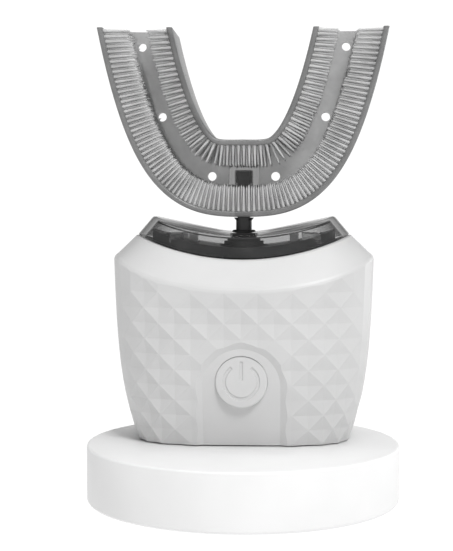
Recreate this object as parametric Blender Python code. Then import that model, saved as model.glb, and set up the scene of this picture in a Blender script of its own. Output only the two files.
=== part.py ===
"""Electric toothbrush with a U-shaped mouthpiece, standing on a round charging dock.

The dock's underside centre is the origin, +Z is up and the front faces -Y.
Every size below is in millimetres; add_node turns them into metres.
"""

import math

import bmesh
import bpy
from mathutils import Vector

MM = 0.001
GAP = 0.3  # between pieces that touch or fit in one another
SLIDE_GAP = 0.5  # around pieces that move
BITE = 0.4  # how far a joined or cut shape reaches past the face it starts from
RING_POINTS = 56
SMALL_RING_POINTS = 24

# Charging dock
DOCK_RADIUS = 35.0
DOCK_HEIGHT = 13.3
DOCK_WALL = 1.8
DOCK_TOP = 2.0
DOCK_EDGE = 0.5
DOCK_FLOOR = 2.0
FOOT_RADIUS = 4.0
FOOT_STANDING = 0.5
FOOT_POCKET = 0.9
FOOT_INSET = 9.0
BOSS_RADIUS = 2.6
SCREW_HEAD_RADIUS = 1.9
SCREW_HEAD = 1.1
SCREW_RADIUS = 1.0
SCREW_LENGTH = 6.0
PEG_HALF = (6.0, 3.6)
PEG_HEIGHT = 2.4
PEG_EDGE = 0.3
PEG_POWER = 2.4  # how square the peg's plan is; 2 is an ellipse
COIL_OUTER = 12.0
COIL_INNER = 6.5
COIL_HEIGHT = 1.6
FERRITE_HEIGHT = 1.0
CRADLE_WALL = 1.2
DOCK_BOARD_HALF_WIDTH = 11.0
BOARD_THICKNESS = 1.2
PAD_HEIGHT = 0.4
INLET_HALF_WIDTH = 4.5
INLET_HALF_HEIGHT = 1.6
INLET_DEPTH = 7.4
INLET_WALL = 0.35
INLET_SETBACK = 0.6  # of its mouth from the dock's side
INLET_FLOOR = 0.8
TONGUE_HALF = (3.2, 0.35)
TONGUE_SETBACK = 1.2
SLOT_STEPS = 8

# Handle
HANDLE_Y = 6.0  # the seat is set back from the dock's centre
SHOULDER_HALF = (29.4, 18.5)
BODY_HEIGHT = 41.0  # bottom edge to the top edge on the centre line
CHAMFER_HEIGHT = 6.4
CHAMFER_RUN = 5.4
SHOULDER_BEND = 0.005  # rise per mm of x, squared
SHOULDER_LIFT = 3.5e-6  # and to the fourth power
CROWN_BEND = 0.0092
BODY_TAPER = (1.4, 0.9)
BODY_TUCK = (4.0, 4.6)
TUCK_POWER = 3.6
BODY_POWER = 2.8
BODY_WALL = 2.0
BODY_EDGE = 0.5
RIM_WIDTH = 1.5
BODY_LEVELS = 8
ARCH_HALF_WIDTH = 9.9
ARCH_TOP = 23.1  # above the body's bottom edge
ARCH_DEPTH = 0.8
BUTTON_RADIUS = 5.7
BUTTON_HEIGHT = 14.6  # above the body's bottom edge
BUTTON_PROUD = 0.5
BUTTON_TRAVEL = 0.8
FLANGE_WIDTH = 0.8
FLANGE_THICKNESS = 0.8

# Handle internals
CAP_THICKNESS = 1.8
HUB_WALL = 1.3
SEAL_WIDTH = 1.3
SEAL_HEIGHT = 1.0
RX_COIL_WIDTH = 2.6
RX_COIL_HEIGHT = 2.4
CELL_RADIUS = 5.9
CHASSIS_WALL = 1.8
CHASSIS_DEPTH = 10.5
BAR_THICKNESS = 3.4
BOARD_SCREW_RADIUS = 0.7
SWITCH_HALF = 3.1
SWITCH_THICKNESS = 2.4
PLUNGER_RADIUS = 1.7
PLUNGER_LENGTH = 2.0
PLUNGER_PROUD = 1.4
MOTOR_RADIUS = 6.0
SHAFT_RADIUS = 0.75
CRANK_RADIUS = 3.0
CRANK_THICKNESS = 2.0
CRANK_OFFSET = 0.25
CRANK_PIN_RADIUS = 0.6
CRANK_PIN_LENGTH = 2.8
CRANK_CLEARANCE = 0.8  # over the motor
CRANK_DROP = 3.8  # from the deck's underside down to the crank's top
BRACKET_THICKNESS = 1.6
DECK_THICKNESS = 1.5
DECK_HOLE = 3.6
DECK_DROP = 1.4  # from the handle's top edge to the deck
DECK_CLEARANCE = 0.635  # in front and behind, to the slanted wall
ROOF_START = 0.8  # the slanted inner wall starts this far under the shoulder
ROOF_END = 1.0  # and ends this far under the top edge

# Head
COLLAR_HEIGHT = 5.7
COLLAR_RUN = 3.6
COLLAR_WALL = 1.4
COLLAR_TOP = 0.8
HEAD_BASE_THICKNESS = 2.2
SHOULDER_BLOCKS = ((10.8, 7.1), (6.7, 4.8))  # from the rim's end to where each starts and ends
BLOCK_CLEARANCE = 0.9  # under the collar's top
BLOCK_SLOPE = 0.3  # how steeply their tops fall towards the sides
BLOCK_STEPS = 4
LATCH_REACH = 13.6  # from the rim's end to the latch's nearer face
LATCH_WIDTH = 2.0
LATCH_HALF_DEPTH = 1.8
BOOT_STEPS = (5.2, 4.4, 3.7)
BOOT_SQUASH = 0.8  # depth of its steps as a share of their width
BOOT_NECK_WALL = 0.5
BOOT_ABOVE = 0.5  # the neck over the collar
BOOT_POWER = 2.2
SWING = math.radians(3.0)
PIVOT_PIN_RADIUS = 0.6
PIVOT_PIN_LENGTH = 9.0
PIVOT_WALL = 0.9
PIVOT_RISE = 0.8  # over the head's underside
BOSS_HALF_WIDTH = 4.4
BOSS_END_WALL = 1.2

# Mouthpiece
STEM_HALF = (1.8, 1.4)
STEM_FREE = 3.6
STEM_POWER = 2.2
STEM_SKIN = 0.35  # how much thinner the stem is inside the socket
STEM_KEY = 2.6  # height of the square key at its top
FLANGE_HALF_WIDTH = 2.3
FLANGE_FLARE = 0.6
ARCH_HALF_SPAN = 22.8
ARCH_RISE = 28.8
ARCH_POWER = 3.45
ARCH_END = 1.04  # where the arms stop, as a share of ARCH_HALF_SPAN
ARCH_SECTIONS = 32
END_TILT = math.radians(12.0)
END_TILT_START = 0.55
TRAY_HALF_WIDTH = (8.5, 8.1)  # at the middle and at the ends
TRAY_HALF_DEPTH = 11.0
TRAY_WALL = 1.3
TRAY_WEB = 1.6
HOLE_RADIUS = 1.0
HOLE_PLACES = (0.315, 0.81, 1.008)  # along the arch, as shares of ARCH_HALF_SPAN
SLEEVE_WALL = 1.3
SOCKET_HALF = (1.8, 1.4)
SOCKET_DEPTH = 10.2
SOCKET_POWER = 4.0
SLEEVE_START = 0.6  # over the tray's underside

# Heights that follow from the sizes above
FLOOR_BOTTOM = FOOT_STANDING
FLOOR_TOP = FLOOR_BOTTOM + DOCK_FLOOR
CEILING = DOCK_HEIGHT - DOCK_TOP
BODY_BOTTOM = DOCK_HEIGHT + GAP
CROWN = BODY_BOTTOM + BODY_HEIGHT
SHOULDER = CROWN - CHAMFER_HEIGHT
CAP_TOP = BODY_BOTTOM + CAP_THICKNESS
HUB_TOP = BODY_BOTTOM + PEG_HEIGHT + GAP + HUB_WALL
RX_COIL_BOTTOM = CAP_TOP + GAP
RX_FERRITE_BOTTOM = max(RX_COIL_BOTTOM + RX_COIL_HEIGHT, HUB_TOP) + GAP
CELL_Z = RX_FERRITE_BOTTOM + FERRITE_HEIGHT + GAP + CELL_RADIUS
BAR_BOTTOM = CELL_Z + CELL_RADIUS + GAP
BAR_TOP = BAR_BOTTOM + BAR_THICKNESS
DECK_TOP = CROWN - DECK_DROP
DECK_BOTTOM = DECK_TOP - DECK_THICKNESS
CRANK_TOP = DECK_BOTTOM - CRANK_DROP
CRANK_BOTTOM = CRANK_TOP - CRANK_THICKNESS
MOTOR_TOP = CRANK_BOTTOM - CRANK_CLEARANCE
MOTOR_BOTTOM = BAR_TOP + GAP
MOTOR_LENGTH = MOTOR_TOP - MOTOR_BOTTOM  # it fills the height that the body leaves
BUTTON_Z = BODY_BOTTOM + BUTTON_HEIGHT
HEAD_BOTTOM = CROWN + GAP
HEAD_BASE_TOP = HEAD_BOTTOM + HEAD_BASE_THICKNESS
COLLAR_CROWN = CROWN + COLLAR_HEIGHT
PIVOT_Z = HEAD_BOTTOM + PIVOT_RISE
TRAY_BOTTOM = COLLAR_CROWN + STEM_FREE

# Plan sizes that follow
DOCK_INSIDE = DOCK_RADIUS - DOCK_WALL
SCREW_CIRCLE = DOCK_INSIDE - BOSS_RADIUS - 2.0
RIM_HALF = (SHOULDER_HALF[0] - CHAMFER_RUN, SHOULDER_HALF[1] - CHAMFER_RUN)
LATCH_START = RIM_HALF[0] - LATCH_REACH
BLOCK_RANGES = [(RIM_HALF[0] - start, RIM_HALF[0] - end) for start, end in SHOULDER_BLOCKS]
BOOT_HOLE = (
    STEM_HALF[0] + GAP + (COLLAR_CROWN - PIVOT_Z) * math.tan(SWING),
    STEM_HALF[1] + GAP,
)
BOOT_NECK = (BOOT_HOLE[0] + BOOT_NECK_WALL, BOOT_HOLE[1] + BOOT_NECK_WALL)

# The switch stack behind the button, front to back
BOARD_BACK = HANDLE_Y - MOTOR_RADIUS - GAP
CELL_Y = BOARD_BACK + GAP + CELL_RADIUS
CHASSIS_FRONT = BOARD_BACK + GAP
BOARD_FRONT = BOARD_BACK - BOARD_THICKNESS
SWITCH_BACK = BOARD_FRONT - GAP
SWITCH_FRONT = SWITCH_BACK - SWITCH_THICKNESS
PLUNGER_FRONT = SWITCH_FRONT - PLUNGER_PROUD

MATERIALS = {
    # name: colour, roughness, metallic
    "white_abs": ((0.80, 0.80, 0.80), 0.35, 0.0),
    "grey_abs": ((0.25, 0.26, 0.27), 0.5, 0.0),
    "black_abs": ((0.03, 0.03, 0.03), 0.45, 0.0),
    "smoky_polycarbonate": ((0.30, 0.30, 0.31), 0.12, 0.0),
    "silicone": ((0.55, 0.55, 0.56), 0.4, 0.0),
    "rubber": ((0.06, 0.06, 0.06), 0.8, 0.0),
    "ferrite": ((0.05, 0.05, 0.055), 0.7, 0.0),
    "copper": ((0.72, 0.33, 0.16), 0.35, 1.0),
    "steel": ((0.60, 0.60, 0.61), 0.3, 1.0),
    "cell_sleeve": ((0.05, 0.20, 0.45), 0.4, 0.0),
    "circuit_board": ((0.02, 0.20, 0.08), 0.5, 0.0),
}

BODY_PIVOTS = {
    "dock": (0.0, 0.0, 0.0),
    "handle": (0.0, HANDLE_Y, BODY_BOTTOM),
    "button": (0.0, HANDLE_Y - SHOULDER_HALF[1], BUTTON_Z),
    "plunger": (0.0, PLUNGER_FRONT, BUTTON_Z),
    "rotor": (0.0, HANDLE_Y, MOTOR_TOP),
    "head": (0.0, HANDLE_Y, HEAD_BOTTOM),
    "mouthpiece": (0.0, HANDLE_Y, PIVOT_Z),
}
BODY_PARENTS = {
    "handle": "dock",
    "button": "handle",
    "plunger": "handle",
    "rotor": "handle",
    "head": "handle",
    "mouthpiece": "head",
}


# ---- Scene, bodies and nodes ----------------------------------------------


def clear_scene():
    for old in list(bpy.data.objects):
        bpy.data.objects.remove(old, do_unlink=True)


def make_material(name):
    colour, roughness, metallic = MATERIALS[name]
    made = bpy.data.materials.new(name)
    made.use_nodes = True
    shader = made.node_tree.nodes["Principled BSDF"]
    shader.inputs["Base Color"].default_value = (*colour, 1.0)
    shader.inputs["Roughness"].default_value = roughness
    shader.inputs["Metallic"].default_value = metallic
    made.diffuse_color = (*colour, 1.0)
    return made


def make_bodies():
    """One empty per moving body, on its joint's axis, parented as the joints are."""
    empties = {}
    for name, pivot in BODY_PIVOTS.items():
        empty = bpy.data.objects.new(name + "_axis", None)
        bpy.context.collection.objects.link(empty)
        parent = BODY_PARENTS.get(name)
        base = Vector(BODY_PIVOTS[parent]) if parent else Vector((0.0, 0.0, 0.0))
        empty.parent = empties.get(parent)
        empty.location = (Vector(pivot) - base) * MM
        empties[name] = empty
    return empties


def mesh_object(name, bm, pivot=(0.0, 0.0, 0.0)):
    bmesh.ops.recalc_face_normals(bm, faces=bm.faces)
    bmesh.ops.translate(bm, verts=bm.verts, vec=-Vector(pivot))
    bmesh.ops.scale(bm, verts=bm.verts, vec=(MM, MM, MM))
    mesh = bpy.data.meshes.new(name)
    bm.to_mesh(mesh)
    bm.free()
    made = bpy.data.objects.new(name, mesh)
    bpy.context.collection.objects.link(made)
    return made


def add_node(name, body, material, bm):
    """A named solid that belongs to a body; bm is in world millimetres."""
    made = mesh_object(name, bm, BODY_PIVOTS[body])
    made.parent = EMPTIES[body]
    made.data.materials.append(PAINTS[material])
    made.data.shade_smooth()
    made.data.set_sharp_from_angle(angle=math.radians(35.0))
    return made


def boolean(target, bm, operation, tag):
    """Joins bm to the target, or cuts it away; bm is in world millimetres."""
    tool = mesh_object(f"{target.name}_{tag}", bm)
    tool.hide_render = True
    tool.display_type = "WIRE"
    modifier = target.modifiers.new(tag, "BOOLEAN")
    modifier.operation = operation
    modifier.solver = "EXACT"
    modifier.object = tool
    return tool


def cut(target, bm, tag):
    return boolean(target, bm, "DIFFERENCE", tag)


def join(target, bm, tag):
    return boolean(target, bm, "UNION", tag)


# ---- Shapes -----------------------------------------------------------------


def ring(half, z, power=2.0, centre_y=HANDLE_Y, bend=0.0, count=RING_POINTS):
    """Points of a superellipse in plan, raised by bend * x * x."""
    points = []
    for step in range(count):
        angle = 2.0 * math.pi * step / count
        c, s = math.cos(angle), math.sin(angle)
        x = half[0] * math.copysign(abs(c) ** (2.0 / power), c)
        y = half[1] * math.copysign(abs(s) ** (2.0 / power), s)
        points.append((x, y + centre_y, z + bend * x * x))
    return points


def cap(bm, loop):
    """Closes a ring with strips across Y, which stay flat on a bent surface."""
    count = len(loop)
    for step in range(count // 2):
        corners = [loop[step], loop[step + 1], loop[-step - 1], loop[-step % count]]
        face = [v for i, v in enumerate(corners) if v not in corners[:i]]
        bm.faces.new(face)


def loft(rings, closed=False, bm=None):
    """Skins rings in order; closed joins the last to the first, else both ends are capped."""
    bm = bm or bmesh.new()
    loops = [[bm.verts.new(p) for p in points] for points in rings]
    pairs = list(zip(loops, loops[1:]))
    if closed:
        pairs.append((loops[-1], loops[0]))
    for low, high in pairs:
        for i in range(len(low)):
            j = (i + 1) % len(low)
            bm.faces.new((low[i], low[j], high[j], high[i]))
    if not closed:
        cap(bm, loops[0])
        cap(bm, loops[-1])
    return bm


def turned(profile, axis="Z", centre=(0.0, 0.0), closed=False, count=SMALL_RING_POINTS, bm=None):
    """A solid of revolution; profile is (radius, place along the axis) pairs."""
    rings = []
    for radius, along in profile:
        circle = []
        for step in range(count):
            angle = 2.0 * math.pi * step / count
            u, v = radius * math.cos(angle), radius * math.sin(angle)
            if axis == "Z":
                circle.append((centre[0] + u, centre[1] + v, along))
            elif axis == "Y":
                circle.append((centre[0] + u, along, centre[1] + v))
            else:
                circle.append((along, centre[0] + u, centre[1] + v))
        rings.append(circle)
    return loft(rings, closed, bm)


def plate(half, low, high, power=BODY_POWER, bend=0.0, edge=0.0, centre_y=HANDLE_Y):
    """A flat or saddle-shaped plate with an optional small chamfer on both edges."""
    inner = (half[0] - edge, half[1] - edge)
    rings = [ring(half, low + edge, power, centre_y, bend)]
    rings.append(ring(half, high - edge, power, centre_y, bend))
    if edge:
        rings.insert(0, ring(inner, low, power, centre_y, bend))
        rings.append(ring(inner, high, power, centre_y, bend))
    return loft(rings)


def hoop(outer, inner, low, high, power=BODY_POWER, bend=0.0, bm=None):
    """A closed band between two superellipses."""
    rings = [ring(outer, low, power, bend=bend), ring(outer, high, power, bend=bend)]
    rings += [ring(inner, high, power, bend=bend), ring(inner, low, power, bend=bend)]
    return loft(rings, closed=True, bm=bm)


def block(low, high, bm=None):
    """A box between two corners."""
    bm = bm or bmesh.new()
    made = bmesh.ops.create_cube(bm, size=1.0)["verts"]
    size = Vector(high) - Vector(low)
    middle = (Vector(high) + Vector(low)) / 2.0
    bmesh.ops.scale(bm, verts=made, vec=size)
    bmesh.ops.translate(bm, verts=made, vec=middle)
    return bm


def extrude_outline(outline, low_y, high_y):
    """An (x, z) outline drawn out along Y."""
    bm = bmesh.new()
    front = [bm.verts.new((x, low_y, z)) for x, z in outline]
    face = bm.faces.new(front)
    drawn = bmesh.ops.extrude_face_region(bm, geom=[face])["geom"]
    moved = [v for v in drawn if isinstance(v, bmesh.types.BMVert)]
    bmesh.ops.translate(bm, verts=moved, vec=(0.0, high_y - low_y, 0.0))
    return bm


def depth_at(half, x, power=BODY_POWER):
    """Half depth of a superellipse at x."""
    share = min(1.0, abs(x) / half[0])
    return half[1] * (1.0 - share ** power) ** (1.0 / power)


def smaller(half, by):
    return (half[0] - by, half[1] - by)


# ---- Body of the handle -------------------------------------------------------


def shoulder_rise(x):
    """How far the shoulder edge rises towards the sides."""
    return SHOULDER_BEND * x ** 2 + SHOULDER_LIFT * x ** 4


def body_half(z):
    """Half width and half depth of the handle's side at a height."""
    span = SHOULDER + shoulder_rise(SHOULDER_HALF[0]) - BODY_BOTTOM
    down = min(1.0, max(0.0, 1.0 - (z - BODY_BOTTOM) / span))
    tuck = down ** TUCK_POWER
    x = SHOULDER_HALF[0] - BODY_TAPER[0] * down - BODY_TUCK[0] * tuck
    y = SHOULDER_HALF[1] - BODY_TAPER[1] * down - BODY_TUCK[1] * tuck
    return (x, y)


def side_ring(share, inset, low, high):
    """A ring of the side; low and high are its end heights on the centre line."""
    points = []
    for step in range(RING_POINTS):
        angle = 2.0 * math.pi * step / RING_POINTS
        c, s = math.cos(angle), math.sin(angle)
        x, z = 0.0, low
        for _ in range(4):
            z = low + share * (high - low + shoulder_rise(x))
            half = smaller(body_half(z), inset)
            x = half[0] * math.copysign(abs(c) ** (2.0 / BODY_POWER), c)
        y = half[1] * math.copysign(abs(s) ** (2.0 / BODY_POWER), s)
        points.append((x, y + HANDLE_Y, z))
    return points


def side_rings(inset, low, high):
    return [side_ring(i / BODY_LEVELS, inset, low, high) for i in range(BODY_LEVELS + 1)]


def body_inside_half(z):
    return smaller(body_half(z), BODY_WALL)


def body_shell():
    outer = side_rings(0.0, BODY_BOTTOM + BODY_EDGE, SHOULDER)
    foot = ring(smaller(body_half(BODY_BOTTOM), BODY_EDGE), BODY_BOTTOM, BODY_POWER)
    rim = [ring(RIM_HALF, CROWN, BODY_POWER, bend=CROWN_BEND)]
    rim.append(ring(smaller(RIM_HALF, RIM_WIDTH), CROWN, BODY_POWER, bend=CROWN_BEND))
    rim.append(ring(smaller(RIM_HALF, RIM_WIDTH), CROWN - ROOF_END, BODY_POWER, bend=CROWN_BEND))
    inner = side_rings(BODY_WALL, BODY_BOTTOM, SHOULDER - ROOF_START)
    shell = add_node(
        "body_shell", "handle", "white_abs",
        loft([foot] + outer + rim + inner[::-1], closed=True),
    )
    cut(shell, arch_cutter(), "arch_recess")
    cut(shell, button_hole(), "button_hole")


def arch_cutter():
    """The arch-shaped recess: its back lies ARCH_DEPTH under the body's surface."""
    columns, rows = 16, 8
    front_y = HANDLE_Y - SHOULDER_HALF[1] - 2.0
    low = BODY_BOTTOM - BITE
    springing = BODY_BOTTOM + ARCH_TOP - ARCH_HALF_WIDTH
    places = []
    for row in range(rows + 1):
        line = []
        for column in range(columns + 1):
            angle = math.pi * (column / columns - 0.5)
            ceiling = springing + ARCH_HALF_WIDTH * math.cos(angle)
            line.append((ARCH_HALF_WIDTH * math.sin(angle), low + (ceiling - low) * row / rows))
        places.append(line)
    bm = bmesh.new()
    back = [[bm.verts.new((x, front_surface(x, z) + ARCH_DEPTH, z)) for x, z in line] for line in places]
    front = [[bm.verts.new((x, front_y, z)) for x, z in line] for line in places]
    for net in (back, front):
        skin_net(bm, net)
    for back_edge, front_edge in zip(net_border(back), net_border(front)):
        bm.faces.new((front_edge[0], front_edge[1], back_edge[1], back_edge[0]))
    return bm


def skin_net(bm, net):
    for low, high in zip(net, net[1:]):
        for i in range(len(low) - 1):
            bm.faces.new((low[i], low[i + 1], high[i + 1], high[i]))


def net_border(net):
    """The edges round a grid of points, as pairs in order."""
    loop = net[0] + [row[-1] for row in net[1:-1]] + net[-1][::-1]
    loop += [row[0] for row in net[-2:0:-1]]
    return list(zip(loop, loop[1:] + loop[:1]))


def front_surface(x, z, inset=0.0):
    """The y of the body's front side at (x, z)."""
    return HANDLE_Y - depth_at(smaller(body_half(z), inset), x)


def button_hole():
    front = HANDLE_Y - SHOULDER_HALF[1] - BITE
    return turned(
        [(BUTTON_RADIUS + GAP, front), (BUTTON_RADIUS + GAP, HANDLE_Y - SHOULDER_HALF[1] / 2)],
        "Y", (0.0, BUTTON_Z), count=48,
    )


# ---- Bottom of the handle -------------------------------------------------------


def base_cap():
    half = smaller(body_inside_half(BODY_BOTTOM), GAP)
    hub = (PEG_HALF[0] + GAP + HUB_WALL, PEG_HALF[1] + GAP + HUB_WALL)
    pocket = (PEG_HALF[0] + GAP, PEG_HALF[1] + GAP)
    node = add_node(
        "base_cap", "handle", "white_abs", plate(half, BODY_BOTTOM, CAP_TOP, edge=0.2)
    )
    join(node, plate(hub, CAP_TOP - BITE, HUB_TOP, power=PEG_POWER), "hub")
    top = BODY_BOTTOM + PEG_HEIGHT + GAP
    cut(node, plate(pocket, BODY_BOTTOM - BITE, top, power=PEG_POWER), "peg_pocket")


def base_seal():
    half = smaller(body_inside_half(CAP_TOP), GAP)
    low = CAP_TOP + GAP
    bm = hoop(half, smaller(half, SEAL_WIDTH), low, low + SEAL_HEIGHT)
    add_node("base_seal", "handle", "rubber", bm)


def receiver_coil():
    inner = (PEG_HALF[0] + HUB_WALL + 2 * GAP, PEG_HALF[1] + HUB_WALL + 2 * GAP)
    outer = (inner[0] + RX_COIL_WIDTH, inner[1] + RX_COIL_WIDTH)
    top = RX_COIL_BOTTOM + RX_COIL_HEIGHT
    bm = hoop(outer, inner, RX_COIL_BOTTOM, top, power=PEG_POWER)
    add_node("receiver_coil", "handle", "copper", bm)
    bm = plate(outer, RX_FERRITE_BOTTOM, RX_FERRITE_BOTTOM + FERRITE_HEIGHT, power=PEG_POWER)
    add_node("receiver_ferrite", "handle", "ferrite", bm)


# ---- Chassis, cell, board and switch ---------------------------------------------


def chassis_half():
    """Half width over the uprights: they pass the seal's inner edge."""
    return body_inside_half(CAP_TOP)[0] - GAP - SEAL_WIDTH - GAP


def chassis():
    outer = chassis_half()
    inner = outer - CHASSIS_WALL
    low = CAP_TOP + GAP + SEAL_HEIGHT + GAP
    high = DECK_BOTTOM - GAP
    outline = [
        (-outer, low), (-inner, low), (-inner, BAR_BOTTOM), (inner, BAR_BOTTOM),
        (inner, low), (outer, low), (outer, high), (inner, high),
        (inner, BAR_TOP), (-inner, BAR_TOP), (-inner, high), (-outer, high),
    ]
    bm = extrude_outline(outline, CHASSIS_FRONT, CHASSIS_FRONT + CHASSIS_DEPTH)
    node = add_node("chassis", "handle", "grey_abs", bm)
    cut(node, board_screw_holes(), "screw_holes")


def board_screw_places():
    across = 0.6 * chassis_half()
    return [(side * across, (BAR_BOTTOM + BAR_TOP) / 2) for side in (-1, 1)]


def board_screw_holes():
    bm = bmesh.new()
    for place in board_screw_places():
        front = BOARD_FRONT - 1.0
        back = CHASSIS_FRONT + 4.0
        radius = BOARD_SCREW_RADIUS + GAP
        turned([(radius, front), (radius, back)], "Y", place, count=20, bm=bm)
    return bm


def battery_cell():
    half = chassis_half() - CHASSIS_WALL - 0.6
    nub = 0.9
    profile = [
        (CELL_RADIUS - 0.4, -half), (CELL_RADIUS, -half + 0.4),
        (CELL_RADIUS, half - nub - 0.4), (CELL_RADIUS - 0.4, half - nub),
        (CELL_RADIUS / 3, half - nub), (CELL_RADIUS / 3, half),
    ]
    bm = turned(profile, "X", (CELL_Y, CELL_Z), count=40)
    add_node("battery_cell", "handle", "cell_sleeve", bm)


def main_board():
    half = chassis_half() - CHASSIS_WALL - 1.0
    low = (-half, BOARD_FRONT, CELL_Z - CELL_RADIUS)
    high = (half, BOARD_BACK, MOTOR_BOTTOM + MOTOR_LENGTH / 2)
    node = add_node("main_board", "handle", "circuit_board", block(low, high))
    cut(node, board_screw_holes(), "screw_holes")


def board_screws():
    for name, place in zip(("board_screw_left", "board_screw_right"), board_screw_places()):
        head = BOARD_FRONT - GAP
        tip = CHASSIS_FRONT + 3.4
        profile = [
            (2 * BOARD_SCREW_RADIUS, head - 0.8), (2 * BOARD_SCREW_RADIUS, head),
            (BOARD_SCREW_RADIUS, head), (BOARD_SCREW_RADIUS, tip - 0.6), (0.2, tip),
        ]
        add_node(name, "handle", "steel", turned(profile, "Y", place, count=20))


def tact_switch():
    low = (-SWITCH_HALF, SWITCH_FRONT, BUTTON_Z - SWITCH_HALF)
    high = (SWITCH_HALF, SWITCH_BACK, BUTTON_Z + SWITCH_HALF)
    node = add_node("tact_switch", "handle", "black_abs", block(low, high))
    radius = PLUNGER_RADIUS + GAP
    back = PLUNGER_FRONT + PLUNGER_LENGTH + BUTTON_TRAVEL + 0.1
    hole = turned([(radius, SWITCH_FRONT - BITE), (radius, back)], "Y", (0.0, BUTTON_Z), count=24)
    cut(node, hole, "plunger_hole")


def switch_plunger():
    edge = 0.2
    back = PLUNGER_FRONT + PLUNGER_LENGTH
    profile = [
        (PLUNGER_RADIUS - edge, PLUNGER_FRONT), (PLUNGER_RADIUS, PLUNGER_FRONT + edge),
        (PLUNGER_RADIUS, back),
    ]
    bm = turned(profile, "Y", (0.0, BUTTON_Z), count=24)
    add_node("switch_plunger", "plunger", "black_abs", bm)


def flange_front():
    """The button's flange sits behind the wall, clear of its curved inner face."""
    reach = BUTTON_RADIUS + FLANGE_WIDTH
    heights = (BUTTON_Z - reach, BUTTON_Z, BUTTON_Z + reach)
    return max(front_surface(reach, z, BODY_WALL) for z in heights) + GAP


def button_cap():
    edge = 0.5
    face = front_surface(0.0, BUTTON_Z) + ARCH_DEPTH - BUTTON_PROUD
    flange = flange_front()
    flange_back = flange + FLANGE_THICKNESS
    profile = [(BUTTON_RADIUS - edge, face)]
    for step in range(1, 5):
        angle = math.pi / 2 * step / 4
        radius = BUTTON_RADIUS - edge + edge * math.sin(angle)
        profile.append((radius, face + edge * (1 - math.cos(angle))))
    profile += [
        (BUTTON_RADIUS, flange), (BUTTON_RADIUS + FLANGE_WIDTH, flange),
        (BUTTON_RADIUS + FLANGE_WIDTH, flange_back),
        (PLUNGER_RADIUS, flange_back), (PLUNGER_RADIUS, PLUNGER_FRONT - GAP),
    ]
    bm = turned(profile, "Y", (0.0, BUTTON_Z), count=48)
    add_node("button_cap", "button", "white_abs", bm)


def button_seal():
    """A soft frame round the flange, on the inside of the wall."""
    inner = BUTTON_RADIUS + FLANGE_WIDTH + SLIDE_GAP
    outer = inner + 1.6
    heights = (BUTTON_Z - outer, BUTTON_Z, BUTTON_Z + outer)
    front = max(front_surface(outer, z, BODY_WALL) for z in heights) + GAP
    profile = [(outer, front), (outer, front + 1.0), (inner, front + 1.0), (inner, front)]
    bm = turned(profile, "Y", (0.0, BUTTON_Z), closed=True, count=48)
    add_node("button_seal", "handle", "silicone", bm)


# ---- Motor and crank ----------------------------------------------------------------


def motor():
    bore = SHAFT_RADIUS + GAP
    profile = [
        (bore, MOTOR_BOTTOM + 1.2), (bore, MOTOR_TOP + 0.4), (2.2, MOTOR_TOP + 0.4),
        (2.2, MOTOR_TOP), (MOTOR_RADIUS - 0.4, MOTOR_TOP), (MOTOR_RADIUS, MOTOR_TOP - 0.4),
        (MOTOR_RADIUS, MOTOR_BOTTOM),
    ]
    bm = turned(profile, centre=(0.0, HANDLE_Y), count=40)
    add_node("motor_can", "handle", "steel", bm)


def motor_bracket():
    half = chassis_half() - CHASSIS_WALL - GAP
    low = MOTOR_TOP - MOTOR_LENGTH / 3
    high = low + BRACKET_THICKNESS
    back = HANDLE_Y + MOTOR_RADIUS + 2.4
    node = add_node(
        "motor_bracket", "handle", "grey_abs",
        block((-half, CHASSIS_FRONT, low), (half, back, high)),
    )
    radius = MOTOR_RADIUS + GAP
    profile = [(radius, low - BITE), (radius, high + BITE)]
    cut(node, turned(profile, centre=(0.0, HANDLE_Y), count=40), "motor_hole")


def rotor():
    shaft_top = CRANK_BOTTOM + 1.0
    profile = [(SHAFT_RADIUS, MOTOR_BOTTOM + 1.2 + GAP), (SHAFT_RADIUS, shaft_top)]
    shaft = turned(profile, centre=(0.0, HANDLE_Y), count=20)
    add_node("motor_shaft", "rotor", "steel", shaft)
    bore = SHAFT_RADIUS + GAP
    profile = [
        (bore, shaft_top + GAP), (bore, CRANK_BOTTOM), (CRANK_RADIUS, CRANK_BOTTOM),
        (CRANK_RADIUS, CRANK_TOP),
    ]
    node = add_node("crank", "rotor", "steel", turned(profile, centre=(0.0, HANDLE_Y)))
    profile = [
        (CRANK_PIN_RADIUS, CRANK_TOP - BITE), (CRANK_PIN_RADIUS, CRANK_TOP + CRANK_PIN_LENGTH),
    ]
    join(node, turned(profile, centre=(CRANK_OFFSET, HANDLE_Y), count=20), "crank_pin")


def deck_half():
    """The deck fits under the chamfer: its plan at the deck's top, inside the wall."""
    low = SHOULDER - ROOF_START
    share = (DECK_TOP - low) / (CROWN - ROOF_END - low)
    mouth = smaller(RIM_HALF, RIM_WIDTH)
    wide = SHOULDER_HALF[1] - BODY_WALL
    return (mouth[0], wide + share * (mouth[1] - wide) - DECK_CLEARANCE)


def top_deck():
    node = add_node(
        "top_deck", "handle", "grey_abs", plate(deck_half(), DECK_BOTTOM, DECK_TOP, edge=0.2)
    )
    bm = turned(
        [(DECK_HOLE, DECK_BOTTOM - BITE), (DECK_HOLE, DECK_TOP + BITE)],
        centre=(0.0, HANDLE_Y), count=32,
    )
    for side in (-1, 1):
        near = side * (LATCH_START - SLIDE_GAP)
        far = side * (LATCH_START + LATCH_WIDTH + SLIDE_GAP)
        depth = LATCH_HALF_DEPTH + SLIDE_GAP
        low = (min(near, far), HANDLE_Y - depth, DECK_BOTTOM - BITE)
        high = (max(near, far), HANDLE_Y + depth, DECK_TOP + BITE)
        block(low, high, bm)
    cut(node, bm, "openings")


# ---- Head -----------------------------------------------------------------------------


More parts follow.
